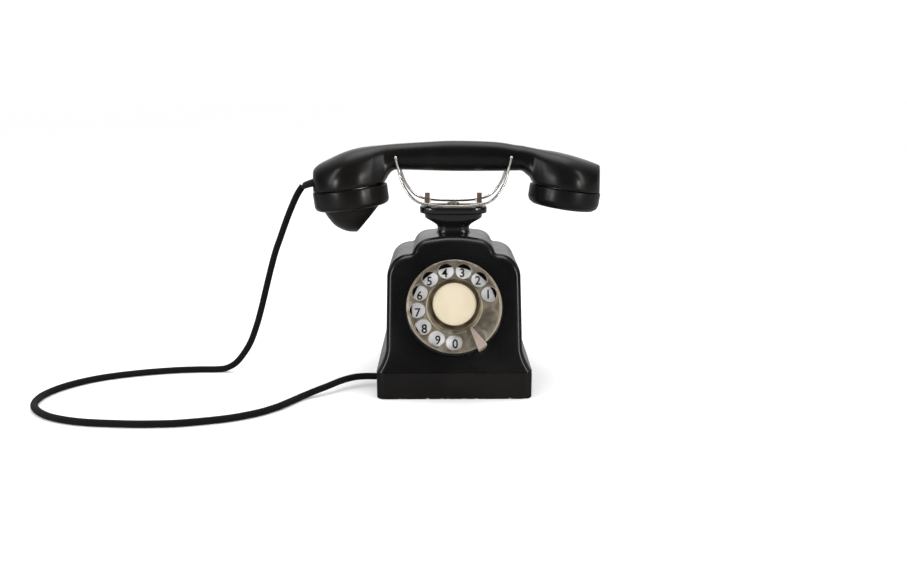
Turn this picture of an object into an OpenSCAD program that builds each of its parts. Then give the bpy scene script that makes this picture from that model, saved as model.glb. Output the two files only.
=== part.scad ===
// Desk telephone with a rotary dial: a leaning case on a plinth, a wire cradle on a pedestal,
// and a handset that lies across the cradle.
// Units are millimetres. The origin is the middle of the plinth's underside.
// X runs to the right as seen from the front, the front faces -Y, and Z is up.

/* [Plinth] */
// Width of the plinth, left to right
base_w = 124.4; // [118:0.1:150]
// Depth of the plinth, front to back
base_d = 162; // [152:0.5:194]
// Height of the plinth
base_h = 22; // [18.3:0.1:27]
// Radius of the plinth's upright corners
base_r = 7; // [3:0.5:10]
// Thickness of the plinth's walls
base_wall = 3; // [2.5:0.1:4]

/* [Case] */
// Height of the case above the plinth
case_h = 102.3; // [98:0.1:122]
// Width of the case at its upright sides
case_w = 109.4; // [104:0.1:112]
// Lean of the front face back from upright, in degrees
front_lean = 24.5; // [22:0.5:25.5]
// Lean of the rear face forward from upright, in degrees
rear_lean = 28; // [24:0.5:29]
// Thickness of the case's metal
case_wall = 2; // [1.4:0.1:2.6]
// Radius of the case's shoulders
shoulder_r = 18; // [15:0.5:20]
// Radius of the dome's corners
dome_r = 15; // [12:0.5:17]
// Half width of the dome above the notches
dome_half = 34.5; // [32:0.5:38]

/* [Dial] */
// Height of the dial's centre above the plinth
dial_up = 47; // [45:0.5:52]
// Diameter of the finger wheel
wheel_d = 76; // [68:0.5:80]
// Distance of the finger holes from the dial's centre
hole_ring_r = 29.5; // [28:0.1:30]
// Diameter of a finger hole
hole_d = 12.4; // [10.4:0.1:13.4]
// Angle from one finger hole to the next, in degrees
hole_step = 27.74; // [25:0.01:28]
// Angle of the first finger hole from the right
hole_start = 19.6; // [16:0.1:22]
// Diameter of the card in the middle of the wheel
card_d = 35; // [30:0.5:37]

/* [Cradle] */
// Height of the pedestal
pedestal_h = 22; // [20:0.1:26.4]
// Half width of the pedestal's rim
rim_half = 28.3; // [26:0.1:34]
// Distance of each guide post from the middle
post_x = 22; // [20:0.1:23]
// Diameter of the guide posts
post_d = 4.1; // [3.4:0.1:4.9]
// Diameter of the cradle's wire
wire_d = 2.3; // [1.9:0.1:2.8]
// Travel of the cradle as the handset is lifted
travel = 6; // [5:0.1:6]

/* [Handset] */
// Distance from the middle to each bulb of the handset
bulb_x = 91; // [84:0.5:109]
// Height of the grip at its middle
grip_h = 25.2; // [21:0.1:28]
// Depth of the grip, front to back
grip_d = 24; // [20:0.1:25]
// Diameter of the mouth cap
mouth_d = 63; // [58:0.5:66]
// Diameter of the ear cap
ear_d = 60; // [56:0.5:64]
// Height of both caps
cap_h = 16.5; // [14:0.5:20]

/* [Cord] */
// Diameter of the cord
cord_d = 5.5; // [4.6:0.1:6.5]
// How far the cord's turn reaches out to the left of the case
cord_reach = 330; // [290:5:400]

/* [Hidden] */
run_gap = 0.06; // running clearance of a pin in its bore
body_gap = 0.4; // gap between curved faces that move apart
fine = 64; // facets asked of a circle
small = 32; // facets asked of a small circle
eps = 0.01; // overlap that makes a cut clean

// heights and leans of the case
case_top = base_h + case_h;
front_k = tan(front_lean);
rear_k = tan(rear_lean);
case_half = case_w / 2;
foot_flare = base_w / 2 - case_half;
foot_flare_h = 18;
crown_h = 1.8;
dome_x = dome_half - dome_r;
dome_z = case_top - crown_h - dome_r;
notch_z = case_top - 13.8;
shoulder_x = case_half - shoulder_r;
shoulder_z = notch_z - shoulder_r;
rear_fillet = 14;
profile_steps = 8;
case_front_y = -base_d / 2;
screw_x = base_w / 2 - 15.5;
screw_y = base_d / 2 - 16;

// dial: heights are measured out along the dial's axis from the case's face
dial_z = base_h + dial_up;
dial_y = case_front_y + dial_up * front_k;
wheel_r = wheel_d / 2;
cup_r = wheel_r + 1;
cup_h = 7.6;
cup_floor = 2;
cup_wall = 2.4;
mech_r = wheel_r - 4;
mech_depth = 30;
case_hole_r = mech_r + 0.5;
plate_t = 1.2;
wheel_z = 10.4;
wheel_t = 1.6;
bead_w = 1.5;
bead_up = 1;
bead_down = 1.4;
hole_lip = 0.7;
hub_r = card_d / 2 + 3.2;
hub_foot = 0.9;
hub_top = 18.4;
card_z = 19.4;
card_t = 0.4;
cover_t = 0.5;
shaft_r = 3;
stop_angle = -52;
stop_z = 14.2;
stop_t = 1.6;
stop_out = cup_r + 0.05;
stop_in = hub_r + 1.1;
frame_z = -7;
frame_t = 2;
frame_r = mech_r - 4;
gear_z = -12.4;
gear_t = 1.6;
gear_m = 0.62;
gear_teeth = 65;
pinion_teeth = 10;
gear_r = gear_m * gear_teeth / 2;
pinion_r = gear_m * pinion_teeth / 2;
gear_span = gear_r + pinion_r + 0.1;
pinion_angle = 115;
back_z = -24;
back_t = 1.6;
drum_r = 12;
drum_h = 4.4;
worm_z = -18;
gov_x = -9;
gov_y = -19;
gov_r = 5;

// pedestal and cradle
centre_y = -4;
ped_z = case_top - 1.2;
rim_z = case_top - 0.2 + pedestal_h;
rim_deep = 14.8;
neck_half = 13.5;
neck_deep = 11;
ring_z = rim_z + 3;
ring_y = 23;
rod_r = 2.5;
rod_foot_z = case_top - 34;
guide_z = case_top - 26;
post_top = rim_z + 11;
post_foot = rim_z - 8.2;
bridge_t = 1.4;
wire_r = wire_d / 2;
wire_sides = 10;

// handset: the grip's underside clears the cradle's wires by the body gap
grip_z = rim_z + 29.4;
crown_z = grip_z + grip_h;
mouth_tilt = 7.1;
ear_tilt = -8.4;
mouth_x = -bulb_x + 3.7;
ear_x = bulb_x + 3.6;
mouth_z = grip_z - 13.7;
ear_z = grip_z - 14.3;
mouth_r = mouth_d / 2;
ear_r = ear_d / 2;
shell_t = 3;
lift = 40;

// hook lever under the plunger rod
lever_y = 26;
lever_z = rod_foot_z - 3.4;
lever_w = 13;
lever_pin_r = 1.5;

// ringer and speech parts on the plinth
gong_r = 19.5;
gong_x = 22.6;
gong_y = 27;
gong_z = base_h + 38;
coil_r = 6.2;
coil_x = 9.5;
coil_h = 20;

// cord
cord_r = cord_d / 2;
cord_sides = 10;
sleeve_r = 3.3;
exit_y = -43.5;
exit_z = 8;

// ---- helpers ----

function mix(a, b, t) = a + (b - a) * t;
function arc(cx, cy, r, a0, a1, n) =
  [for (i = [0:n]) let (a = mix(a0, a1, i / n)) [cx + r * cos(a), cy + r * sin(a)]];
function unit(v) = v / norm(v);
function spower(x, e) = sign(x) * pow(abs(x), e);

// points of a smooth path through hand-set points
function path_point(p, i, t) =
  let (a = p[max(i - 1, 0)], b = p[i], c = p[i + 1], d = p[min(i + 2, len(p) - 1)])
  0.5 * (2 * b + (c - a) * t + (2 * a - 5 * b + 4 * c - d) * t * t
  + (3 * b - a - 3 * c + d) * pow(t, 3));
function smooth_path(p, n) =
  concat([for (i = [0:len(p) - 2]) for (k = [0:n - 1]) path_point(p, i, k / n)], [p[len(p) - 1]]);

// a solid skinned over rings of the same number of points, closed at both ends
module skin(rings) {
  n = len(rings[0]);
  m = len(rings);
  pts = [for (r = rings) for (p = r) p];
  sides = [for (j = [0:m - 2]) for (i = [0:n - 1]) let (k = (i + 1) % n)
    each [[j * n + i, j * n + k, (j + 1) * n + k], [j * n + i, (j + 1) * n + k, (j + 1) * n + i]]];
  foot = [[for (i = [n - 1:-1:0]) i]];
  top = [[for (i = [0:n - 1]) (m - 1) * n + i]];
  polyhedron(points = pts, faces = concat(sides, foot, top), convexity = 6);
}

// a round tube along points, carried without twist by its last sideways direction
function frames(p, i, side) =
  let (d = unit(p[min(i + 1, len(p) - 1)] - p[max(i - 1, 0)]), s = unit(side - (side * d) * d))
  i == len(p) - 1 ? [[s, cross(d, s)]] : concat([[s, cross(d, s)]], frames(p, i + 1, s));
module tube(p, r, n, side) {
  f = frames(p, 0, side);
  skin([for (i = [0:len(p) - 1]) [for (k = [0:n - 1]) let (a = -360 * k / n)
    p[i] + r * cos(a) * f[i][0] + r * sin(a) * f[i][1]]]);
}

module rounded_plate(w, d, h, r) {
  linear_extrude(h) {
    square([w - 2 * r, d], center = true);
    square([w, d - 2 * r], center = true);
    for (x = [-1, 1], y = [-1, 1]) translate([x * (w / 2 - r), y * (d / 2 - r)]) circle(r, $fn = fine);
  }
}

module block(lo, hi) {
  translate(lo) cube(hi - lo);
}

module round_bar(z0, z1, r, n = small) {
  translate([0, 0, z0]) cylinder(h = z1 - z0, r = r, $fn = n);
}

module ring(z0, z1, r_out, r_in) {
  translate([0, 0, z0]) difference() {
    cylinder(h = z1 - z0, r = r_out, $fn = fine);
    translate([0, 0, -1]) cylinder(h = z1 - z0 + 2, r = r_in, $fn = fine);
  }
}

module slotted_screw(head_r, head_h, shank_r, shank_l) {
  difference() {
    union() {
      cylinder(h = head_h, r = head_r, $fn = small);
      translate([0, 0, -shank_l]) cylinder(h = shank_l + eps, r = shank_r, $fn = small);
    }
    translate([0, 0, head_h]) cube([head_r * 2.2, head_r * 0.3, head_h], center = true);
  }
}

module corners() {
  for (x = [-1, 1], y = [-1, 1]) translate([x * screw_x, y * screw_y, 0]) children();
}

module at_dial() {
  translate([0, dial_y, dial_z]) rotate([90 - front_lean, 0, 0]) children();
}

module at_mouth() {
  translate([mouth_x, centre_y, mouth_z]) rotate([0, -mouth_tilt, 0]) children();
}

module at_ear() {
  translate([ear_x, centre_y, ear_z]) rotate([0, -ear_tilt, 0]) children();
}

// ---- plinth ----

module plinth() color("#241f1c") {
  difference() {
    rounded_plate(base_w, base_d, base_h, base_r);
    translate([0, 0, -1]) rounded_plate(base_w - 2 * base_wall, base_d - 2 * base_wall, base_h - 2,
      base_r - 1);
    corners() round_bar(0, base_h + 1, 2.1);
    block([-30, 12, base_h - 4], [30, 40, base_h - 4.5 + 6]);
    translate([-base_w / 2, exit_y, exit_z]) rotate([0, 90, 0]) round_bar(-1, base_wall + 1, 4.6);
    translate([25, base_d / 2, exit_z]) rotate([90, 0, 0]) round_bar(-1, base_wall + 1, 4.6);
  }
  for (x = [-1, 1], y = [-1, 1])
    translate([x * (base_w / 2 - 8.5), y * (base_d / 2 - 24), 0]) difference() {
      round_bar(3, base_h - 3 + eps, 4);
      round_bar(2, 12, 1.55);
    }
}

module bottom_plate() color("#4a4a48") {
  difference() {
    rounded_plate(base_w - 2 * base_wall - 0.2, base_d - 2 * base_wall - 0.2, 2, base_r - 1);
    for (x = [-1, 1], y = [-1, 1]) translate([x * (base_w / 2 - 8.5), y * (base_d / 2 - 24), 0]) {
      round_bar(-1, 5, 1.7);
      round_bar(-1, 1.2, 3);
    }
    corners() round_bar(-1, 5, 5);
  }
}

module bottom_screws() color("#8c8a84") {
  for (x = [-1, 1], y = [-1, 1])
    translate([x * (base_w / 2 - 8.5), y * (base_d / 2 - 24), 1.15]) mirror([0, 0, 1])
      slotted_screw(2.6, 0.9, 1.5, 9);
}

// ---- case ----

function case_right(t) = concat(
  [for (i = [0:profile_steps]) let (u = i / profile_steps)
    [case_half + foot_flare * pow(1 - u, 1.7) - t, base_h + foot_flare_h * u]],
  arc(shoulder_x, shoulder_z, shoulder_r - t, 0, 90, profile_steps),
  arc(dome_x, dome_z, dome_r - t, 12, 78, profile_steps),
  [for (i = [1:4]) let (x = dome_x * (1 - i / 4)) [x, case_top - t - crown_h * pow(x / dome_x, 2)]]);
function case_outline(t) = let (r = case_right(t))
  concat(r, [for (i = [len(r) - 2:-1:0]) [-r[i][0], r[i][1]]]);

// side view of the case: lower front, upper front, rounded upper rear, lower rear
function side_outline(t) =
  let (y0 = case_front_y + t / cos(front_lean), y1 = base_d / 2 - t / cos(rear_lean))
  let (h = case_h + 2, zc = case_top - rear_fillet)
  let (yc = base_d / 2 - (zc - base_h) * rear_k - rear_fillet / cos(rear_lean))
  concat([[y0 - front_k, base_h - 1], [y1 + rear_k, base_h - 1]],
    arc(yc, zc, rear_fillet - t, rear_lean, 90, profile_steps),
    [[yc, base_h + h], [y0 + h * front_k, base_h + h]]);

module case_solid(t) {
  intersection() {
    translate([0, base_d / 2, 0]) rotate([90, 0, 0]) linear_extrude(base_d) polygon(case_outline(t));
    translate([-base_w / 2, 0, 0]) rotate([90, 0, 90]) linear_extrude(base_w) polygon(side_outline(t));
  }
}

module case_shell() color("#0b0b0c") {
  difference() {
    case_solid(0);
    difference() {
      translate([0, 0, -eps]) case_solid(case_wall);
      for (x = [-1, 1], y = [-1, 1]) translate([x * (screw_x + 3.5), y * screw_y, base_h + 4.5])
        cube([18, 11, 9], center = true);
    }
    corners() round_bar(base_h - 1, base_h + 7, 1.55);
    at_dial() round_bar(-20, 20, case_hole_r, fine);
    translate([0, centre_y, 0]) round_bar(case_top - 12, case_top + 2, 5);
    for (x = [-1, 1]) translate([x * 9, centre_y, 0]) round_bar(case_top - 12, case_top + 2, 1.7);
    for (x = [-1, 1]) translate([x * 6.5, 16, 0]) round_bar(case_top - 12, case_top - 0.8, 1.6);
  }
}

module case_screws() color("#8c8a84") {
  corners() translate([0, 0, base_h - 3 - eps]) mirror([0, 0, 1]) slotted_screw(3.6, 1.8, 1.5, 9);
}

// ---- pedestal ----

function ped_ring(z, a, b) = [for (i = [0:31]) let (w = 360 * (i + 0.5) / 32)
  [a * spower(cos(w), 0.72), centre_y + b * spower(sin(w), 0.72), z]];

module pedestal() color("#0d0d0e") {
  s = pedestal_h / 22;
  w = rim_half - 28.3;
  difference() {
    skin([ped_ring(ped_z, neck_half, neck_deep), ped_ring(ped_z + 6 * s, neck_half, neck_deep),
      ped_ring(ped_z + 8.4 * s, neck_half + 2.2, neck_deep + 0.8),
      ped_ring(ped_z + 11 * s, neck_half + 6.4 + w, neck_deep + 2),
      ped_ring(ped_z + 14 * s, 24 + w, 13.4), ped_ring(ped_z + 17 * s, 24.5 + w, 13.6),
      ped_ring(ped_z + 17.3 * s, rim_half - 0.8, rim_deep - 0.5),
      ped_ring(ped_z + 18.3 * s, rim_half, rim_deep), ped_ring(rim_z - 1, rim_half, rim_deep),
      ped_ring(rim_z, rim_half - 0.7, rim_deep - 0.7)]);
    translate([0, centre_y, 0]) round_bar(ped_z - 1, rim_z + 1, rod_r + run_gap);
    translate([0, centre_y, 0]) round_bar(ped_z - 1, ped_z + 6, 5);
    for (x = [-1, 1]) translate([x * post_x, centre_y, 0])
      round_bar(post_foot - 0.4, rim_z + 1, post_d / 2 + run_gap);
    for (x = [-1, 1]) translate([x * 9, centre_y, 0]) round_bar(ped_z - 1, ped_z + 7.4, 1.5);
    case_solid(-0.03);
  }
}

module pedestal_screws() color("#8c8a84") {
  drop = crown_h * pow(12 / dome_x, 2);
  for (x = [-1, 1]) translate([x * 9, centre_y, case_top - case_wall - drop - 0.1]) mirror([0, 0, 1])
    slotted_screw(3, 1.6, 1.4, 8);
}

// ---- dial: fixed pieces ----

module dial_cup() color("#0d0d0e") at_dial() {
  difference() {
    round_bar(0.1, cup_h, cup_r, fine);
    round_bar(cup_floor, cup_h + 1, cup_r - cup_wall, fine);
    round_bar(-1, cup_h, drum_r + 2, fine);
    for (a = [30, 150, 270]) rotate(a) translate([mech_r - 7, 0, 0]) {
      round_bar(-1, 4, 1.6);
      round_bar(0.6, 4, 2.75);
    }
  }
  difference() {
    round_bar(-mech_depth, 0.1 + eps, mech_r, fine);
    round_bar(-mech_depth - 1, cup_h, mech_r - 1.4, fine);
  }
}

module number_plate() color("#efece2") at_dial() {
  ring(cup_floor + 0.05, cup_floor + 0.05 + plate_t, cup_r - cup_wall - 0.3, drum_r + 3);
}

// the finger stop: a curved horn over the wheel, folded down outside its rim
function stop_edge(r, off) = [r * cos(off), r * sin(off)];
module finger_stop() color("#9a927e") at_dial() {
  translate([0, 0, stop_z]) linear_extrude(stop_t) polygon(concat(
    [for (i = [0:6]) let (t = i / 6)
      stop_edge(mix(stop_in, stop_out + 1.6, t), stop_angle - 2.5 - 7.5 * pow(t, 1.4))],
    [for (i = [6:-1:0]) let (t = i / 6)
      stop_edge(mix(stop_in, stop_out + 1.6, t), stop_angle + 2.5 - 2.5 * t + 3.5 * t * (1 - t))]));
  intersection() {
    ring(1, stop_z + eps, stop_out + 1.6, stop_out);
    rotate(stop_angle - 10) translate([0, -4, 0]) cube([60, 11.5, 20]);
  }
}

module dial_frame() color("#a8935a") at_dial() {
  difference() {
    round_bar(frame_z - frame_t, frame_z, frame_r, fine);
    round_bar(-30, 1, shaft_r + run_gap);
    rotate(pinion_angle) translate([gear_span, 0, 0]) round_bar(-30, 1, 1.25 + run_gap);
    for (a = [30, 150, 270]) rotate(a) translate([mech_r - 7, 0, 0]) round_bar(-12, 1, 1.5);
  }
  difference() {
    round_bar(back_z - back_t, back_z, frame_r - 2, fine);
    round_bar(-30, 1, shaft_r + run_gap);
    rotate(pinion_angle) translate([gear_span, 0, 0]) round_bar(-30, 1, 1.25 + run_gap);
  }
  for (a = [85, 205, 325]) rotate(a) translate([frame_r - 5, 0, 0])
    round_bar(back_z - eps, frame_z - frame_t + eps, 2);
  for (a = [30, 150, 270]) rotate(a) translate([mech_r - 7, 0, 0]) difference() {
    round_bar(frame_z - eps, 0.05, 2.7);
    round_bar(-12, 1, 1.5);
  }
}

module dial_screws() color("#8c8a84") at_dial() {
  for (a = [30, 150, 270]) rotate(a) translate([mech_r - 7, 0, 0.7]) slotted_screw(2.6, 1.2, 1.4, 6.8);
}

module spring_drum() color("#b8a15e") at_dial() {
  difference() {
    round_bar(frame_z + 0.05, frame_z + 0.05 + drum_h, drum_r, fine);
    round_bar(frame_z + 0.9, frame_z + drum_h + 1, drum_r - 0.9, fine);
    round_bar(frame_z - 1, frame_z + 2, shaft_r + 0.4);
  }
}

module governor_cup() color("#b8a15e") at_dial() {
  translate([gov_x, gov_y, worm_z]) rotate([0, 90, 0]) difference() {
    round_bar(8, 15, gov_r);
    round_bar(9, 16, gov_r - 1);
    round_bar(7, 10, 1);
  }
  translate([gov_x, gov_y, worm_z]) block([8.2, -2, -5.98], [12, 2, -4.2]);
}

module pulse_contacts() color("#c7b98a") at_dial() {
  rotate(pinion_angle) translate([gear_span + 5.2, 0, 0]) {
    for (z = [-17.6, -16, -14.4]) block([0, -9, z - 0.2], [2, 7, z + 0.2]);
    block([-0.4, 7 - eps, -18.6], [2, 9, -13.4]);
  }
}

// ---- hook switch ----

module hook_bracket() color("#8f8a7c") {
  top = case_top - case_wall - 0.7;
  difference() {
    union() {
      block([-lever_w / 2 - 2.6, 8, top - 2], [lever_w / 2 + 2.6, 22, top]);
      for (x = [-1, 1]) translate([x * (lever_w / 2 + 1.6), 0, 0])
        block([-1, 14, lever_z - 5], [1, lever_y + 4, top - 2 + eps]);
      block([-lever_w / 2 - 2.6, centre_y - 6, guide_z], [lever_w / 2 + 2.6, 16, guide_z + 1.4]);
    }
    translate([0, centre_y, 0]) round_bar(guide_z - 1, guide_z + 3, rod_r + run_gap);
    for (x = [-1, 1]) translate([x * 6.5, 16, 0]) round_bar(top - 4, top + 1, 1.2);
    translate([0, lever_y, lever_z]) rotate([0, 90, 0]) round_bar(-20, 20, lever_pin_r + run_gap);
    block([-lever_w / 2 - 4, lever_y - 3, case_top - 15], [lever_w / 2 + 4, lever_y + 9, case_top]);
  }
}

module hook_contacts() color("#c7b98a") {
  for (z = [0, 2.2, 4.4]) block([-3, -4, lever_z - 14 + z], [3, 22, lever_z - 13.6 + z]);
  block([-4, 22 - eps, lever_z - 15.2], [4, 28, lever_z - 8.2]);
  for (x = [-1, 1]) block([min(x * 4, x * (lever_w / 2 + 2.6)) - eps, 23, lever_z - 13],
    [max(x * 4, x * (lever_w / 2 + 2.6)) + eps, 27, lever_z - 11]);
  for (x = [-1, 1]) translate([x * (lever_w / 2 + 1.6), 0, 0])
    block([-1, 23, lever_z - 13], [1, 27, lever_z - 5 - eps]);
}

module hook_lever() color("#9d988a") {
  difference() {
    union() {
      block([-lever_w / 2, centre_y - 5, lever_z + 1.4], [lever_w / 2, lever_y - 3, lever_z + 3]);
      block([-lever_w / 2, lever_y - 6, lever_z - 3], [lever_w / 2, lever_y + 3, lever_z + 3]);
    }
    block([-lever_w / 2 + 3, lever_y - 3, lever_z - 4], [lever_w / 2 - 3, lever_y + 4, lever_z + 4]);
  }
  translate([0, lever_y, lever_z]) rotate([0, 90, 0])
    round_bar(-lever_w / 2 - 3.4, lever_w / 2 + 3.4, lever_pin_r);
}

// ---- ringer ----

module gong(x) {
  translate([x, gong_y, gong_z]) rotate_extrude($fn = fine) polygon([[2.2, 8], [7, 7.8], [13, 6],
    [17.4, 2.8], [gong_r, -0.6], [gong_r - 1.2, -0.6], [16.4, 2], [12.4, 4.8], [6.8, 6.6], [2.2, 6.8]]);
}
module gong_left() color("#b9a878") gong(-gong_x);
module gong_right() color("#b9a878") gong(gong_x);

module gong_posts() color("#77746c") {
  for (x = [-1, 1]) translate([x * gong_x, gong_y, 0]) difference() {
    union() {
      round_bar(base_h + 1.65, gong_z + 6.75, 3.4);
      round_bar(base_h + 1.65, base_h + 4, 5.8);
    }
    round_bar(gong_z - 4, gong_z + 8, 1.5);
  }
}

module gong_screws() color("#8c8a84") {
  for (x = [-1, 1]) translate([x * gong_x, gong_y, gong_z + 8.05]) slotted_screw(3.4, 1.8, 1.4, 9);
}

module ringer_frame() color("#5d5b57") {
  difference() {
    block([-gong_x - 8, gong_y - 13, base_h + 0.05], [gong_x + 8, gong_y + 11, base_h + 1.6]);
    for (x = [-1, 1]) translate([x * (gong_x + 5), gong_y - 10, 0]) round_bar(base_h - 1, base_h + 3, 1.2);
  }
  for (x = [-1, 1]) translate([x * coil_x, gong_y, 0]) {
    round_bar(base_h + 1.6 - eps, base_h + 3.6 + coil_h, 2.6);
  }
  for (y = [gong_y - 12.4, gong_y + 9]) difference() {
    block([-3.4, y, base_h + 1.6 - eps], [3.4, y + 1.6, base_h + 33]);
    translate([0, y, base_h + 29]) rotate([-90, 0, 0]) round_bar(-1, 3, 1 + run_gap);
  }
}

module ringer_coils() color("#3f2a22") {
  for (x = [-1, 1]) translate([x * coil_x, gong_y, 0]) {
    ring(base_h + 1.7, base_h + 3.2, coil_r + 0.9, 2.7);
    ring(base_h + 3.2 - eps, base_h + 1.8 + coil_h, coil_r, 2.7);
    ring(base_h + 1.8 + coil_h - eps, base_h + 3.3 + coil_h, coil_r + 0.9, 2.7);
  }
}

module clapper() color("#8d8a82") {
  translate([0, gong_y, base_h + 29]) {
    block([-coil_x - 3, -3, -3.6], [coil_x + 3, 3, -1.8]);
    block([-2, -3, -1.8 - eps], [2, 3, 1.8]);
    rotate([90, 0, 0]) round_bar(-12.4, 12.6, 1);
    round_bar(1.4, 9.4, 0.8);
    translate([0, 0, 10.6]) sphere(2, $fn = small);
  }
}

// ---- speech parts and terminals ----

module induction_coil() color("#54331f") {
  translate([-42, 0, base_h + 10.1]) rotate([-90, 0, 0]) {
    round_bar(-22, 22, 7.4);
    for (z = [-24, 21]) translate([-8.5, -8.5, z]) cube([17, 18.5, 3]);
    round_bar(-27, 27, 3);
  }
}

module capacitor() color("#8f8d88") {
  difference() {
    block([36, -22, base_h + 0.05], [50, 18, base_h + 32]);
    for (y = [-12, 8]) translate([43, y, 0]) round_bar(base_h + 30, base_h + 33, 1.6);
  }
  for (y = [-12, 8]) translate([43, y, 0]) round_bar(base_h + 29, base_h + 34.5, 1.5);
}

module terminal_block() color("#1a1715") {
  difference() {
    block([-28, 54, base_h + 0.05], [28, 66, base_h + 9]);
    for (i = [0:4]) translate([-20 + 10 * i, 60, 0]) round_bar(base_h + 3, base_h + 10, 1.3);
    for (i = [0:3]) translate([-15 + 10 * i, 60, 0]) block([-0.6, -7, base_h + 7], [0.6, 7, base_h + 10]);
  }
}

module terminal_screws() color("#b8a15e") {
  for (i = [0:4]) translate([-20 + 10 * i, 60, base_h + 9.05]) slotted_screw(2.4, 1.5, 1.2, 5);
}

module cord_grommet() color("#121212") {
  translate([-base_w / 2, exit_y, exit_z]) rotate([0, 90, 0]) difference() {
    union() {
      round_bar(-1.6, -0.05, 5.6);
      round_bar(-0.06, base_wall + 0.1, 4.55);
      round_bar(base_wall + 0.05, base_wall + 1.6, 5.6);
    }
    round_bar(0.4, base_wall + 3, cord_r);
  }
}

module line_grommet() color("#121212") {
  translate([25, base_d / 2, exit_z]) rotate([90, 0, 0]) difference() {
    union() {
      round_bar(-1.6, -0.05, 5.6);
      round_bar(-0.06, base_wall + 0.1, 4.55);
      round_bar(base_wall + 0.05, base_wall + 1.6, 5.6);
    }
    round_bar(-3, base_wall + 3, 2.6);
  }
}

// ---- dial: moving pieces ----

module hole_ring() {
  for (i = [0:9]) rotate(hole_start + i * hole_step) translate([hole_ring_r, 0, 0]) children();
}

module finger_wheel() color("#9d937b") at_dial() {
  difference() {
    union() {
      round_bar(wheel_z, wheel_z + wheel_t, wheel_r - bead_w / 2, fine);
      ring(wheel_z - bead_down, wheel_z + wheel_t + bead_up, wheel_r, wheel_r - bead_w);
      hole_ring() round_bar(wheel_z, wheel_z + wheel_t + 0.5, hole_d / 2 + hole_lip);
      translate([0, 0, wheel_z + wheel_t - eps])
        cylinder(h = hub_top - wheel_z - wheel_t, r1 = hub_r + hub_foot, r2 = hub_r, $fn = fine);
    }
    hole_ring() round_bar(wheel_z - 1, wheel_z + wheel_t + 2, hole_d / 2);
    round_bar(wheel_z - 1, wheel_z + wheel_t + 3.4, hub_r - 2.4, fine);
    round_bar(wheel_z - 1, hub_top + 1, 2.02);
  }
}

module card_ring() color("#8f8158") at_dial() {
  ring(hub_top + 0.05, card_z + card_t + cover_t + 0.7, hub_r, card_d / 2 + 0.4);
  ring(card_z + card_t + cover_t + 0.1, card_z + card_t + cover_t + 0.7, card_d / 2 + 0.4 + eps,
    card_d / 2 - 0.4);
}

module card() color("#e9e2c8") at_dial() {
  round_bar(card_z, card_z + card_t, card_d / 2, fine);
  round_bar(hub_top + 0.05, card_z + eps, card_d / 2 - 1, fine);
}

module card_cover() color("#f4f4ee") at_dial() {
  round_bar(card_z + card_t + 0.05, card_z + card_t + cover_t + 0.05, card_d / 2, fine);
}

module dial_shaft() color("#8c8a84") at_dial() {
  round_bar(back_z - back_t - 1.2, wheel_z + wheel_t + 3.3, shaft_r);
  round_bar(wheel_z + wheel_t + 3.3 - eps, hub_top - 0.2, 2);
  round_bar(wheel_z - 1, wheel_z + wheel_t + 3.3, hub_r - 4);
}

module mainspring() color("#6f6a5c") at_dial() {
  turns = 3;
  steps = 20;
  n = turns * steps;
  r0 = shaft_r + 0.5;
  r1 = drum_r - 1.6;
  translate([0, 0, frame_z + 1.2]) linear_extrude(drum_h - 1.6) polygon(concat(
    [for (i = [0:n]) let (a = 360 * i / steps, r = mix(r0, r1, i / n)) [r * cos(a), r * sin(a)]],
    [for (i = [n:-1:0]) let (a = 360 * i / steps, r = mix(r0, r1, i / n) + 0.35) [r * cos(a), r * sin(a)]]));
}

// a spur gear with slender teeth
function tooth(m, n, i) = let (r = m * n / 2, a = 360 / n)
  [for (p = [[-1.1, -0.24], [-0.3, -0.2], [0.75, -0.1], [0.75, 0.1], [-0.3, 0.2], [-1.1, 0.24]])
    [(r + m * p[0]) * cos((i + p[1]) * a), (r + m * p[0]) * sin((i + p[1]) * a)]];
module spur(m, n, h) {
  linear_extrude(h) polygon([for (i = [0:n - 1]) each tooth(m, n, i)]);
}

module main_gear() color("#b8a15e") at_dial() {
  translate([0, 0, gear_z]) rotate(pinion_angle + 180 / gear_teeth) difference() {
    spur(gear_m, gear_teeth, gear_t);
    round_bar(-1, gear_t + 1, shaft_r + 0.02);
  }
}

module pulse_pinion() color("#c0ab6a") at_dial() {
  rotate(pinion_angle) translate([gear_span, 0, 0]) {
    translate([0, 0, gear_z - 0.3]) rotate(180) spur(gear_m, pinion_teeth, gear_t + 0.6);
    round_bar(back_z - back_t - 0.8, frame_z + 0.8, 1.25);
    translate([0, 0, -17.2]) linear_extrude(2.4) {
      circle(3, $fn = small);
      square([9, 2.6], center = true);
    }
  }
}

module governor() color("#a58f55") at_dial() {
  translate([gov_x, gov_y, worm_z]) rotate([0, 90, 0]) {
    round_bar(-9, 8.6, 0.9);
    round_bar(-8, -1, 1.7);
    block([-3.2, -1, 10.2], [3.2, 1, 11.6]);
    round_bar(8.6 - eps, 11.4, 0.9);
  }
}

// ---- cradle ----

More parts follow.
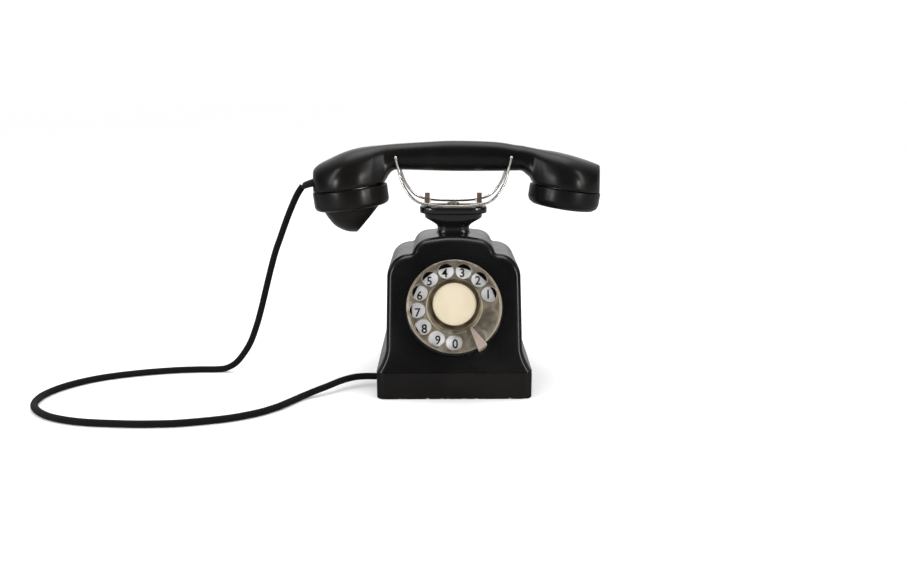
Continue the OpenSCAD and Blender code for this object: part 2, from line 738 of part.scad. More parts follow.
function wire_run(s) = [[-rim_half - 19.4, 15, 40.5], [-rim_half - 18.6, 14, 36], [-rim_half - 17.4, 13, 31.2],
  [-rim_half - 16, 13.4, 26], [-rim_half - 13.6, 15.4, 19], [-rim_half - 9.4, 18, 12],
  [-rim_half - 4, 20, 6.4], [-rim_half + 3, 21.6, 3.4], [-14, ring_y - 0.4, 1.6], [0, ring_y, 1.2]];
function wire_side(s, m) = [for (p = wire_run(s)) [m * p[0], centre_y + s * p[1], ring_z - 0.9 + p[2] - 1.2]];
function wire_path(s) = let (l = wire_side(s, 1), r = wire_side(s, -1))
  smooth_path(concat(l, [for (i = [len(r) - 2:-1:0]) r[i]]), 3);
module cradle_wire(s) {
  p = wire_path(s);
  tube(p, wire_r, wire_sides, [0, 1, 0]);
  for (e = [p[0], p[len(p) - 1]]) translate(e) sphere(wire_r + 0.25, $fn = small);
}
module cradle_front_wire() color("#c9c5bd") cradle_wire(-1);
module cradle_rear_wire() color("#c9c5bd") cradle_wire(1);

module cradle_bars() color("#b9b3a6") {
  for (x = [-1, 1]) translate([x * post_x, centre_y, 0]) difference() {
    block([-2.9, -ring_y + 0.8, rim_z + 1.95], [2.9, ring_y - 0.8, rim_z + 3.4]);
    round_bar(rim_z, rim_z + 5, post_d / 2);
  }
}

module guide_posts() color("#5d4636") {
  for (x = [-1, 1]) translate([x * post_x, centre_y, 0]) round_bar(post_foot, post_top, post_d / 2);
}

module cradle_bridge() color("#a98f52") {
  translate([0, centre_y, 0]) difference() {
    union() {
      block([-post_x + 2.95, -3.4, rim_z + 0.5], [post_x - 2.95, 3.4, rim_z + 0.5 + bridge_t]);
      for (x = [-1, 1]) translate([x * post_x, 0, 0])
        round_bar(rim_z + 0.5, rim_z + 0.5 + bridge_t, 3.4);
      round_bar(rim_z + 0.5, rim_z + 3, 5);
    }
    for (x = [-1, 1]) translate([x * post_x, 0, 0]) round_bar(rim_z, rim_z + 5, post_d / 2);
    round_bar(rim_z - 1, rim_z + 5, rod_r + 0.02);
  }
}

module plunger_rod() color("#8c8a84") {
  translate([0, centre_y, 0]) {
    round_bar(rod_foot_z, rim_z + 3.4, rod_r);
    round_bar(case_top - 14, case_top - 12.6, 4.4);
  }
}

module cradle_spring() color("#7d7a72") {
  turns = 3;
  steps = 12;
  z0 = guide_z + 2;
  z1 = case_top - 14.6;
  p = [for (i = [0:turns * steps]) let (a = 360 * i / steps)
    [3.8 * cos(a), centre_y + 3.8 * sin(a), mix(z0, z1, i / (turns * steps))]];
  tube(p, 0.5, 6, [0, 0, 1]);
}

// ---- handset ----

// rows of x, top, bottom, half depth and roundness of the underside, from left to right
function handset_rows() = let (l = mouth_x, r = ear_x, g = grip_z, c = crown_z)
  [[l - 30.6, g - 1.2, g - 16.6, 2, 0.03], [l - 30, g + 1, g - 16.8, 7.5, 0.03],
   [l - 28, g + 3.6, g - 16.8, 13.5, 0.03],
   [l - 24, g + 6.6, g - 16.5, 20, 0.03], [l - 18, g + 9.6, g - 15.9, 25.4, 0.03],
   [l - 9, g + 13.8, g - 14.8, 29.6, 0.03], [l, g + 17.2, g - 13.7, 30.8, 0.03],
   [l + 9, g + 19.4, g - 12.6, 29.2, 0.03], [l + 18, g + 20.7, g - 11.4, 24.6, 0.04],
   [l + 24, g + 21.3, g - 10.7, 20, 0.08], [l + 28.6, g + 21.7, g - 9.6, 16.4, 0.14],
   [l + 30.6, g + 21.9, g - 7.2, 14.8, 0.22], [l + 33.4, g + 22.2, g - 2.6, 13.4, 0.32],
   [l + 37, g + 22.5, g + 0.6, 12.7, 0.4], [l + 42, g + 22.9, g + 1.2, 12.2, 0.46],
   [l + 62, mix(g, c, 0.955), g + 0.7, grip_d / 2, 0.5], [0, c, g, grip_d / 2, 0.5],
   [r - 60, mix(g, c, 0.96), g, grip_d / 2, 0.5],
   [r - 43, g + 21.7, g + 0.3, 12.2, 0.46], [r - 37, g + 21, g + 0.1, 12.6, 0.4],
   [r - 33, g + 20.2, g - 2.8, 13.2, 0.32], [r - 30, g + 19.6, g - 5.6, 14.6, 0.22],
   [r - 28, g + 19.2, g - 9, 16, 0.14], [r - 24, g + 18.4, g - 10.4, 19.4, 0.08],
   [r - 18, g + 17.4, g - 11.6, 24, 0.04], [r - 9, g + 16, g - 12.9, 28.4, 0.03],
   [r, g + 14, g - 14.3, 29.6, 0.03], [r + 9, g + 11.6, g - 15.7, 28.2, 0.03],
   [r + 18, g + 8.6, g - 17, 23.4, 0.03], [r + 24, g + 5.6, g - 17.8, 17.2, 0.03],
   [r + 27.4, g + 2.8, g - 18.3, 10.4, 0.03], [r + 28.6, g - 0.2, g - 18.5, 4, 0.03]];

function handset_ring(row) = let (z = mix(row[2], row[1], row[4]))
  [for (k = [0:27]) let (a = -360 * (k + 0.5) / 28, s = sin(a))
    let (e = s > 0 ? mix(0.74, 1, row[4] * 2) : 1)
    [row[0], centre_y + row[3] * spower(cos(a), e), z + (s > 0 ? (row[1] - z) : (z - row[2])) * spower(s, e)]];

module handset_body() color("#0c0c0d") {
  difference() {
    skin([for (row = handset_rows()) handset_ring(row)]);
    at_mouth() round_bar(-2, 13, mouth_r - 7, fine);
    at_ear() round_bar(-2, 11, ear_r - 7, fine);
  }
}

module ear_cap() color("#0d0d0e") at_ear() {
  difference() {
    translate([0, 0, -0.1]) rotate_extrude($fn = fine) polygon([[0, -0.6], [ear_r - 6, -0.6], [ear_r - 6, 0],
      [ear_r - 0.8, 0], [ear_r, -0.8], [ear_r, -cap_h + 6], [ear_r - 1.2, -cap_h + 2.8],
      [ear_r - 4.2, -cap_h + 0.6], [ear_r - 8, -cap_h], [ear_r - 11, -cap_h + 0.6], [0, -cap_h + 5]]);
    round_bar(-cap_h + 7.4, 1, ear_r - 7, fine);
    for (i = [0:5]) rotate(60 * i) translate([6, 0, 0]) round_bar(-cap_h, 0, 1.4);
    round_bar(-cap_h, 0, 1.4);
  }
}

module receiver() color("#5f5d58") at_ear() {
  round_bar(-cap_h + 7.6, -cap_h + 8, ear_r - 8, fine);
  round_bar(-cap_h + 8 - eps, 6, ear_r - 9.5, fine);
  round_bar(6 - eps, 9, 9, fine);
}

// the mouth cap carries a curved horn, drawn as rings that turn about one edge
horn_x0 = 24.2;
horn_rows = [[186, 46.4], [195, 43.6], [204, 41], [212, 37.8], [220, 34.4], [228.5, 30]];
function horn_ring(row, t) = let (d = [cos(row[0]), sin(row[0])], r = row[1] / 2)
  [for (k = [0:31]) let (a = -360 * k / 32, q = r + (r - t) * cos(a))
    [d[0] * q, (r - t) * 1.02 * sin(a), d[1] * q]];
function horn_foot(t, up) = [for (p = horn_ring([180, 45], t)) [p[0], p[1], up + 0.12 * p[0]]];

module mouth_cap() color("#0d0d0e") {
  at_mouth() difference() {
    translate([0, 0, -0.1]) rotate_extrude($fn = fine) polygon([[0, -0.6], [mouth_r - 6, -0.6],
      [mouth_r - 6, 0], [mouth_r - 1.2, 0], [mouth_r, -1.2], [mouth_r, -cap_h + 3.6], [mouth_r - 1, -cap_h + 1.2],
      [mouth_r - 3.4, -cap_h], [0, -cap_h]]);
    round_bar(-cap_h + 6.4, 1, mouth_r - 7, fine);
    for (i = [0:5]) rotate(60 * i) translate([5, 0, 0]) round_bar(-cap_h - 1, 0, 1.3);
    round_bar(-cap_h - 1, 0, 1.3);
  }
  translate([mouth_x + horn_x0, centre_y, mouth_z - cap_h + 1.4]) difference() {
    skin(concat([horn_foot(0, 2.5)], [for (row = horn_rows) horn_ring(row, 0)]));
    skin(concat([horn_foot(2.2, 3.5)], [for (i = [0:4]) horn_ring(horn_rows[i], 2.2)],
      [horn_ring([234, 27.6], 1.4)]));
  }
}

module transmitter() color("#5f5d58") at_mouth() {
  round_bar(-cap_h + 6.6, 4, mouth_r - 8, fine);
  round_bar(4 - eps, 8, 12, fine);
}

// ---- handset cord ----

cord_start = [mouth_x - 30.8, centre_y, mouth_z + 4.1];
sleeve_end = cord_start + [-9, 0, -3];
cord_gland = [-base_w / 2 - 1.85, exit_y, exit_z];

// each row: how far left of the sleeve, and the share of its height that is left
drop_rows = [[0, 1], [4.6, 0.957], [8.7, 0.905], [12.9, 0.845], [16.9, 0.782], [20.9, 0.716],
  [24.9, 0.65], [29.4, 0.557], [33.8, 0.457], [38.4, 0.351], [43.6, 0.245], [50.6, 0.139],
  [61, 0.048], [70, 0.01], [79, 0]];
drop_points = [for (r = drop_rows) [sleeve_end[0] - r[0], centre_y, mix(cord_r, sleeve_end[2], r[1])]];
cord_turn = drop_points[len(drop_points) - 1];

// the run along the table, first from the drop and then back to the gland
out_rows = [[0.9, 0], [17, 0.5], [38, 3]];
bight_rows = [[58, 11], [30, 25], [10, 46], [0.5, 72], [5, 98], [24, 120], [52, 133], [86, 138],
  [110, 138.5]];
back_rows = [[136, 97, 0], [106, 88, 0], [86, 76, 0], [74, 63.5, 0], [68, 54.5, 0], [56.8, 35.5, 0],
  [46.8, 28.5, 0.45], [38, 20.9, 0.72], [29, 10.5, 0.9], [19, 3.6, 1.05], [9.5, 0.5, 1.04], [0, 0, 1]];
table_points = concat(
  [for (r = out_rows) cord_turn - [r[0], r[1], 0]],
  [for (r = bight_rows) [-cord_reach + r[0], centre_y - r[1], cord_r]],
  [for (r = back_rows) [cord_gland[0] - r[0], exit_y - r[1], mix(cord_r, exit_z, r[2])]]);

module handset_cord_drop() color("#17171a") {
  tube(smooth_path(drop_points, 2), cord_r, cord_sides, [0, 1, 0]);
}

module handset_cord_table() color("#17171a") {
  tube(smooth_path(table_points, 2), cord_r, cord_sides, [0, 0, 1]);
}

module cord_sleeve() color("#141416") {
  tube([cord_start, cord_start + [-4.5, 0, -1.5], sleeve_end + [0.05, 0, 0.017]], sleeve_r, 16, [0, 1, 0]);
}

plinth();
bottom_plate();
bottom_screws();
case_shell();
case_screws();
pedestal();
pedestal_screws();
dial_cup();
number_plate();
finger_stop();
dial_frame();
dial_screws();
spring_drum();
governor_cup();
pulse_contacts();
hook_bracket();
hook_contacts();
gong_left();
gong_right();
gong_posts();
gong_screws();
ringer_frame();
ringer_coils();
induction_coil();
capacitor();
terminal_block();
terminal_screws();
cord_grommet();
line_grommet();
handset_cord_table();
finger_wheel();
card_ring();
card();
card_cover();
dial_shaft();
mainspring();
main_gear();
pulse_pinion();
governor();
cradle_front_wire();
cradle_rear_wire();
cradle_bars();
guide_posts();
cradle_bridge();
plunger_rod();
cradle_spring();
hook_lever();
clapper();
handset_body();
ear_cap();
receiver();
mouth_cap();
transmitter();
cord_sleeve();
handset_cord_drop();
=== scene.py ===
from math import acos, atan2, cos, hypot, pi, radians, sin, sqrt, tan
import bmesh
import bpy
from mathutils import Matrix, Vector


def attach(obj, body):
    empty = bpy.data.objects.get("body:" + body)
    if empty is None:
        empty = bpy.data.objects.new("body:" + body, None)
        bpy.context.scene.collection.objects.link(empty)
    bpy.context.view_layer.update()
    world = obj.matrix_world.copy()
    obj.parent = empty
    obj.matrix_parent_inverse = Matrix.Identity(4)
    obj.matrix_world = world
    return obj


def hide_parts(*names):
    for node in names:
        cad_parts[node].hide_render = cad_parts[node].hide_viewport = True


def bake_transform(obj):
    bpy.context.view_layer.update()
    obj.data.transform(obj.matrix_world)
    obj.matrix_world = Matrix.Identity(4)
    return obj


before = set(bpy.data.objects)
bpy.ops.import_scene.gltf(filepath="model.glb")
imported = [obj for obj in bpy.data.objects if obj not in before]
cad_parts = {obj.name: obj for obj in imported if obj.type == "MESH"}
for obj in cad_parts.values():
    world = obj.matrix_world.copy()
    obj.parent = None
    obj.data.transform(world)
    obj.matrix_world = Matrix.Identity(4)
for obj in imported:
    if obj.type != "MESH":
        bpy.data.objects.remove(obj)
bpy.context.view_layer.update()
mm = 0.001
print("frame loaded:", len(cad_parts), "nodes")


# points, lofts and lathes
def mix(a, b, t):
    return a + (b - a) * t


def smoothPath(points, steps):  # Catmull-Rom through given rows of any length
    out = []
    last = len(points) - 1
    for i in range(last):
        rows = [points[max(i - 1, 0)], points[i], points[i + 1], points[min(i + 2, last)]]
        for k in range(steps):
            t = k / steps
            out.append([0.5 * (2 * b + (c - a) * t + (2 * a - 5 * b + 4 * c - d) * t * t
                               + (3 * b - a - 3 * c + d) * t ** 3) for a, b, c, d in zip(*rows)])
    return out + [list(points[last])]


def roundCorners(corners, steps=4, closed=True):  # corners are (a, b, radius)
    out = []
    count = len(corners)
    for i, (a, b, r) in enumerate(corners):
        if r == 0 or (not closed and i in (0, count - 1)):
            out.append((a, b))
            continue
        p = Vector((a, b))
        before = Vector(corners[i - 1][:2]) - p
        after = Vector(corners[(i + 1) % count][:2]) - p
        reach = 0.49 * min(before.length, after.length)
        before.normalize()
        after.normalize()
        half = acos(max(-1, min(1, before.dot(after)))) / 2
        cut = min(r / tan(half), reach)
        radius = cut * tan(half)
        centre = p + (before + after).normalized() * (radius / sin(half))
        va, vb = p + before * cut - centre, p + after * cut - centre
        w = acos(max(-1, min(1, va.dot(vb) / (va.length * vb.length))))
        for k in range(steps + 1):
            t = k / steps
            v = (va * sin((1 - t) * w) + vb * sin(t * w)) / sin(w)
            out.append(tuple(centre + v))
    return out


def makePiece(name, verts, faces, place=None, sharp=38):  # verts in millimetres
    mesh = bpy.data.meshes.new(name)
    mesh.from_pydata([Vector(v) * mm for v in verts], [], faces)
    tidyMesh(mesh, sharp)
    if place is not None:
        mesh.transform(place)
    piece = bpy.data.objects.new(name, mesh)
    bpy.context.collection.objects.link(piece)
    return piece


def tidyMesh(mesh, sharp=38):
    bm = bmesh.new()
    bm.from_mesh(mesh)
    bmesh.ops.remove_doubles(bm, verts=bm.verts, dist=1e-6)
    bmesh.ops.dissolve_degenerate(bm, edges=bm.edges, dist=1e-7)
    bmesh.ops.recalc_face_normals(bm, faces=bm.faces)
    bm.to_mesh(mesh)
    bm.free()
    mesh.shade_smooth()
    mesh.set_sharp_from_angle(angle=radians(sharp))


def loft(name, rings, closeEnds=True, place=None, sharp=38, loop=False):
    count = len(rings[0])
    verts = [p for ring in rings for p in ring]
    faces = []
    total = len(rings) if loop else len(rings) - 1
    for j in range(total):
        m = (j + 1) % len(rings)
        for i in range(count):
            k = (i + 1) % count
            faces.append((j * count + i, j * count + k, m * count + k, m * count + i))
    if closeEnds and not loop:
        faces.append(tuple(range(count - 1, -1, -1)))
        faces.append(tuple((len(rings) - 1) * count + i for i in range(count)))
    return makePiece(name, verts, faces, place, sharp)


def lathe(name, profile, steps=96, place=None, sharp=38, closed=True):  # profile is (radius, height)
    rings = []
    for r, z in profile:
        rings.append([(r * cos(2 * pi * k / steps), r * sin(2 * pi * k / steps), z) for k in range(steps)])
    return loft(name, rings, closeEnds=not closed, place=place, sharp=sharp, loop=closed)


def softBox(name, low, high, radius, place=None):  # a bar with every edge rounded
    xm, ym = (low[0] + high[0]) / 2, (low[1] + high[1]) / 2
    hx, hy = (high[0] - low[0]) / 2, (high[1] - low[1]) / 2
    rings = []
    for z, inset in [(low[2], radius), (low[2] + 0.3 * radius, 0.3 * radius), (low[2] + radius, 0),
                     (high[2] - radius, 0), (high[2] - 0.3 * radius, 0.3 * radius), (high[2], radius)]:
        a, b = hx - inset, hy - inset
        corners = [(-a, -b, radius), (a, -b, radius), (a, b, radius), (-a, b, radius)]
        rings.append([(xm + x, ym + y, z) for x, y in roundCorners(corners)])
    return loft(name, rings, place=place, sharp=50)


def shifted(x, y, z):
    return Matrix.Translation(Vector((x, y, z)) * mm)


def evaluated(piece, name=None):  # the piece with its modifiers made real
    graph = bpy.context.evaluated_depsgraph_get()
    mesh = bpy.data.meshes.new_from_object(piece.evaluated_get(graph), depsgraph=graph)
    piece.modifiers.clear()
    old = piece.data
    if piece.type == "MESH":
        piece.data = mesh
        mesh.name = piece.name
        return piece
    label = name or piece.name
    bpy.data.objects.remove(piece)
    if old.users == 0:
        bpy.data.curves.remove(old)
    made = bpy.data.objects.new(label, mesh)
    bpy.context.collection.objects.link(made)
    return made


def cutBy(piece, cutter):  # takes the cutter's shape out of the piece
    cut = piece.modifiers.new("cut", "BOOLEAN")
    cut.operation, cut.solver, cut.object = "DIFFERENCE", "EXACT", cutter
    evaluated(piece)
    bpy.data.objects.remove(cutter)
    tidyMesh(piece.data)
    return piece


def rod(r, z0, z1, steps=48, place=None, edge=0.0, name="rod"):
    if edge:
        profile = roundCorners([(0, z0, 0), (r, z0, edge), (r, z1, edge), (0, z1, 0)], closed=False)
    else:
        profile = [(0, z0), (r, z0), (r, z1), (0, z1)]
    return lathe(name, profile, steps, place, closed=False)


finishes = {
    "blackEnamel": dict(slot="black_enamel", base=(0.0035, 0.0035, 0.004), tint=(0.0065, 0.006, 0.006),
                        tintScale=14, rough=(0.16, 0.3), roughScale=30, coat=0.2, coatRough=0.08, gloss=0.4,
                        grain=(700, 0.003), waves=(60, 0.004), scratches=0.1),
    "bakelite": dict(slot="bakelite", base=(0.003, 0.0028, 0.0028), tint=(0.006, 0.005, 0.0045),
                     tintScale=22, rough=(0.24, 0.36), roughScale=26, coat=0.05, coatRough=0.22, gloss=0.2,
                     grain=(900, 0.003), waves=(45, 0.003), scratches=0.08),
    "plinthPaint": dict(slot="plinth_paint", base=(0.0034, 0.0026, 0.0022), tint=(0.0060, 0.0046, 0.0038),
                        gloss=0.22, tintScale=30, rough=(0.5, 0.66), roughScale=60,
                        grain=(1500, 0.05), waves=(90, 0.03), scratches=0.15, chips=(0.0, 2.2)),
    "agedNickel": dict(slot="aged_nickel", base=(0.56, 0.49, 0.38), tint=(0.38, 0.335, 0.265),
                       tintScale=42, metal=1.0, rough=(0.38, 0.56), roughScale=110,
                       grain=(1500, 0.02), waves=(160, 0.012), scratches=0.2, wear=(0.70, 0.66, 0.58)),
    "stopNickel": dict(slot="aged_nickel", base=(0.36, 0.29, 0.24), tint=(0.28, 0.22, 0.18),
                       tintScale=90, metal=0.3, rough=(0.32, 0.46), roughScale=130,
                       grain=(1500, 0.015), waves=(160, 0.01), scratches=0.2),
    "nickelWire": dict(slot="nickel_wire", base=(0.82, 0.79, 0.75), tint=(0.62, 0.59, 0.54),
                       tintScale=60, metal=1.0, rough=(0.22, 0.34), roughScale=150, coatRough=0.2,
                       grain=(1800, 0.004), waves=(120, 0.004), scratches=0.08),
    "oldBrass": dict(slot="old_brass", base=(0.24, 0.19, 0.115), tint=(0.15, 0.115, 0.07),
                     tintScale=50, metal=1.0, rough=(0.3, 0.55), roughScale=110,
                     grain=(1500, 0.08), waves=(130, 0.06), scratches=0.4),
    "brass": dict(slot="brass", base=(0.60, 0.44, 0.19), tint=(0.42, 0.30, 0.13),
                  tintScale=60, metal=1.0, rough=(0.25, 0.42), roughScale=120,
                  grain=(1500, 0.06), waves=(130, 0.04), scratches=0.4),
    "whiteEnamel": dict(slot="white_enamel", base=(0.90, 0.90, 0.92), tint=(0.82, 0.82, 0.82),
                        tintScale=60, rough=(0.2, 0.36), roughScale=70, coat=0.3, coatRough=0.1,
                        grain=(900, 0.005), waves=(70, 0.01), scratches=0.15),
    "digitInk": dict(slot="white_enamel", base=(0.008, 0.008, 0.009), tint=(0.02, 0.02, 0.02),
                     tintScale=200, rough=(0.3, 0.45), roughScale=200, coat=0.2, coatRough=0.15,
                     grain=(1500, 0.02), waves=(100, 0.02)),
    "creamPaper": dict(slot="cream_paper", base=(0.47, 0.395, 0.27), tint=(0.435, 0.36, 0.235),
                       tintScale=55, rough=(0.75, 0.9), roughScale=200,
                       grain=(1800, 0.004), waves=(220, 0.004), foxing=(0.42, 0.27, 0.12)),
    "clearCover": dict(slot="clear_cover", base=(0.95, 0.94, 0.90), tint=(0.9, 0.88, 0.80),
                       tintScale=40, rough=(0.12, 0.25), roughScale=90, coatRough=0.1,
                       grain=(900, 0.002), waves=(60, 0.003), scratches=0.3, alpha=0.06),
    "rustySteel": dict(slot="rusty_steel", base=(0.115, 0.068, 0.042), tint=(0.24, 0.17, 0.12),
                       tintScale=160, metal=0.55, rough=(0.45, 0.75), roughScale=220,
                       grain=(1600, 0.3), waves=(260, 0.2), scratches=0.2),
    "dullSteel": dict(slot="dull_steel", base=(0.30, 0.29, 0.27), tint=(0.19, 0.175, 0.155),
                      tintScale=55, metal=1.0, rough=(0.38, 0.58), roughScale=90,
                      grain=(1400, 0.1), waves=(120, 0.06), scratches=0.5),
    "screwSteel": dict(slot="screw_steel", base=(0.42, 0.40, 0.36), tint=(0.27, 0.24, 0.2),
                       tintScale=120, metal=1.0, rough=(0.3, 0.5), roughScale=160,
                       grain=(1800, 0.08), waves=(150, 0.05), scratches=0.5),
    "springSteel": dict(slot="spring_steel", base=(0.26, 0.26, 0.27), tint=(0.17, 0.15, 0.13),
                        tintScale=90, metal=1.0, rough=(0.25, 0.45), roughScale=140,
                        grain=(1500, 0.06), waves=(140, 0.04), scratches=0.5),
    "springSilver": dict(slot="spring_silver", base=(0.62, 0.58, 0.48), tint=(0.45, 0.41, 0.33),
                         tintScale=90, metal=1.0, rough=(0.22, 0.4), roughScale=140,
                         grain=(1500, 0.05), waves=(140, 0.04), scratches=0.5),
    "bellMetal": dict(slot="bell_metal", base=(0.50, 0.42, 0.27), tint=(0.34, 0.27, 0.17),
                      tintScale=45, metal=1.0, rough=(0.2, 0.42), roughScale=80,
                      grain=(1300, 0.05), waves=(110, 0.04), scratches=0.6),
    "winding": dict(slot="winding", base=(0.085, 0.032, 0.018), tint=(0.14, 0.06, 0.03),
                    tintScale=70, rough=(0.4, 0.6), roughScale=120, coat=0.2, coatRough=0.3,
                    grain=(1200, 0.2), waves=(500, 0.25)),
    "tinnedCan": dict(slot="tinned_can", base=(0.52, 0.51, 0.48), tint=(0.38, 0.36, 0.32),
                      tintScale=40, metal=1.0, rough=(0.34, 0.52), roughScale=70,
                      grain=(1100, 0.06), waves=(80, 0.06), scratches=0.5),
    "blackBoard": dict(slot="black_board", base=(0.016, 0.013, 0.011), tint=(0.03, 0.024, 0.02),
                       tintScale=60, rough=(0.4, 0.6), roughScale=110, coat=0.1, coatRough=0.3,
                       grain=(1400, 0.12), waves=(120, 0.05), scratches=0.2),
    "blackRubber": dict(slot="black_rubber", base=(0.006, 0.0056, 0.0054), tint=(0.011, 0.010, 0.0095),
                        gloss=0.2, tintScale=80, rough=(0.5, 0.7), roughScale=120,
                        grain=(1800, 0.14), waves=(200, 0.05)),
}
materials = {}


def addNode(tree, kind, inputs=None, **settings):  # an input is a plain value or another node's output
    node = tree.nodes.new(kind)
    for name, value in settings.items():
        setattr(node, name, value)
    for name, value in (inputs or {}).items():
        if isinstance(value, bpy.types.NodeSocket):
            tree.links.new(value, node.inputs[name])
        else:
            node.inputs[name].default_value = value
    return node


def mathNode(tree, operation, a, b):
    return addNode(tree, "ShaderNodeMath", {0: a, 1: b}, operation=operation).outputs[0]


def makeFinish(name):
    look = finishes[name]
    material = bpy.data.materials.new(name)
    material.use_nodes = True
    tree = material.node_tree
    shader = tree.nodes["Principled BSDF"]
    shader.inputs["Metallic"].default_value = look.get("metal", 0.0)
    shader.inputs["Coat Weight"].default_value = look.get("coat", 0.0)
    shader.inputs["Coat Roughness"].default_value = look.get("coatRough", 0.3)
    shader.inputs["Specular IOR Level"].default_value = look.get("gloss", 0.5)
    shader.inputs["Alpha"].default_value = look.get("alpha", 1.0)
    where = addNode(tree, "ShaderNodeTexCoord").outputs["Object"]

    def noise(scale, detail, source=where, distortion=0.0):
        return addNode(tree, "ShaderNodeTexNoise", {
            "Scale": scale, "Detail": detail, "Distortion": distortion, "Vector": source}).outputs["Fac"]

    def ramp(source, low, high):  # low and high are each a value and what it becomes
        return addNode(tree, "ShaderNodeMapRange", {
            "From Min": low[0], "From Max": high[0], "To Min": low[1], "To Max": high[1],
            "Value": source}, interpolation_type="SMOOTHSTEP").outputs["Result"]

    def math(operation, a, b):
        return mathNode(tree, operation, a, b)

    def blend(factor, a, b):
        a, b = ((*value, 1) if isinstance(value, tuple) else value for value in (a, b))
        return addNode(tree, "ShaderNodeMix", {"Factor": factor, 6: a, 7: b}, data_type="RGBA").outputs[2]

    colour = blend(ramp(noise(look["tintScale"], 6), (0.4, 0), (0.66, 1)), look["base"], look["tint"])
    smooth, dull = look["rough"]
    roughness = ramp(noise(look["roughScale"], 5, distortion=0.6), (0.3, smooth), (0.72, dull))
    height = math("MULTIPLY", noise(look["grain"][0], 2), look["grain"][1])
    height = math("ADD", height, math("MULTIPLY", noise(look["waves"][0], 2), look["waves"][1] * 2))
    if "scratches" in look:  # long thin lines in two directions
        for turn, stretch in ((0.4, (26, 900, 900)), (1.3, (900, 22, 700))):
            mapping = addNode(tree, "ShaderNodeMapping", {
                "Rotation": (turn, turn * 0.6, turn), "Scale": stretch, "Vector": where})
            line = ramp(noise(1.0, 1, mapping.outputs["Vector"]), (0.70, 0), (0.78, 1))
            amount = math("MULTIPLY", line, look["scratches"] * 0.35)
            roughness = math("ADD", roughness, amount)
            height = math("SUBTRACT", height, math("MULTIPLY", line, 0.05 * look["scratches"]))
    if "wear" in look:  # bright rubbed patches
        patch = ramp(noise(75, 5, distortion=1.2), (0.55, 0), (0.63, 0.75))
        colour = blend(patch, colour, look["wear"])
    if "foxing" in look:  # brown age spots and a faint stain
        spots = ramp(noise(620, 2), (0.69, 0), (0.78, 0.6))
        stain = ramp(noise(70, 3), (0.5, 0), (0.8, 0.25))
        colour = blend(spots, colour, look["foxing"])
        colour = blend(stain, colour, tuple(0.5 * c + 0.2 for c in look["foxing"]))
    if "chips" in look:  # flaked paint along the lowest edge
        split = addNode(tree, "ShaderNodeSeparateXYZ", {"Vector": where})
        low, high = look["chips"]
        band = ramp(split.outputs["Z"], (low * mm, 1), (high * mm, 0))
        flake = ramp(math("ADD", noise(260, 3), math("MULTIPLY", band, 0.26)), (0.80, 0), (0.83, 1))
        colour = blend(flake, colour, (0.42, 0.36, 0.30))
        height = math("SUBTRACT", height, math("MULTIPLY", flake, 0.5))
    bump = addNode(tree, "ShaderNodeBump", {"Strength": 0.6, "Distance": 0.0004, "Height": height})
    tree.links.new(colour, shader.inputs["Base Color"])
    tree.links.new(roughness, shader.inputs["Roughness"])
    tree.links.new(bump.outputs["Normal"], shader.inputs["Normal"])
    return material


def finishFor(name):
    if name not in materials:
        materials[name] = makeFinish(name)
    return materials[name]


def paint(piece, finish):
    piece.data.materials.clear()
    piece.data.materials.append(finishFor(finish))


def settle(piece, body, finish, *nodes):  # its finish, its body and the nodes it stands for
    paint(piece, finish)
    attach(piece, body)
    if nodes:
        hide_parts(*nodes)


view = dict(place=(-0.00905, -0.8, 0.2415), aim=(0.0, -0.0159, 0.0825), lens=37.4)
# overhead and horizon are the brightness that polished parts see there
studio = dict(floorSize=60.0, sky=1.08, overhead=0.95, horizon=0.02,
              tableInPolish=0.3, topPower=9.0, sidePower=5.5, frontPower=5.6)


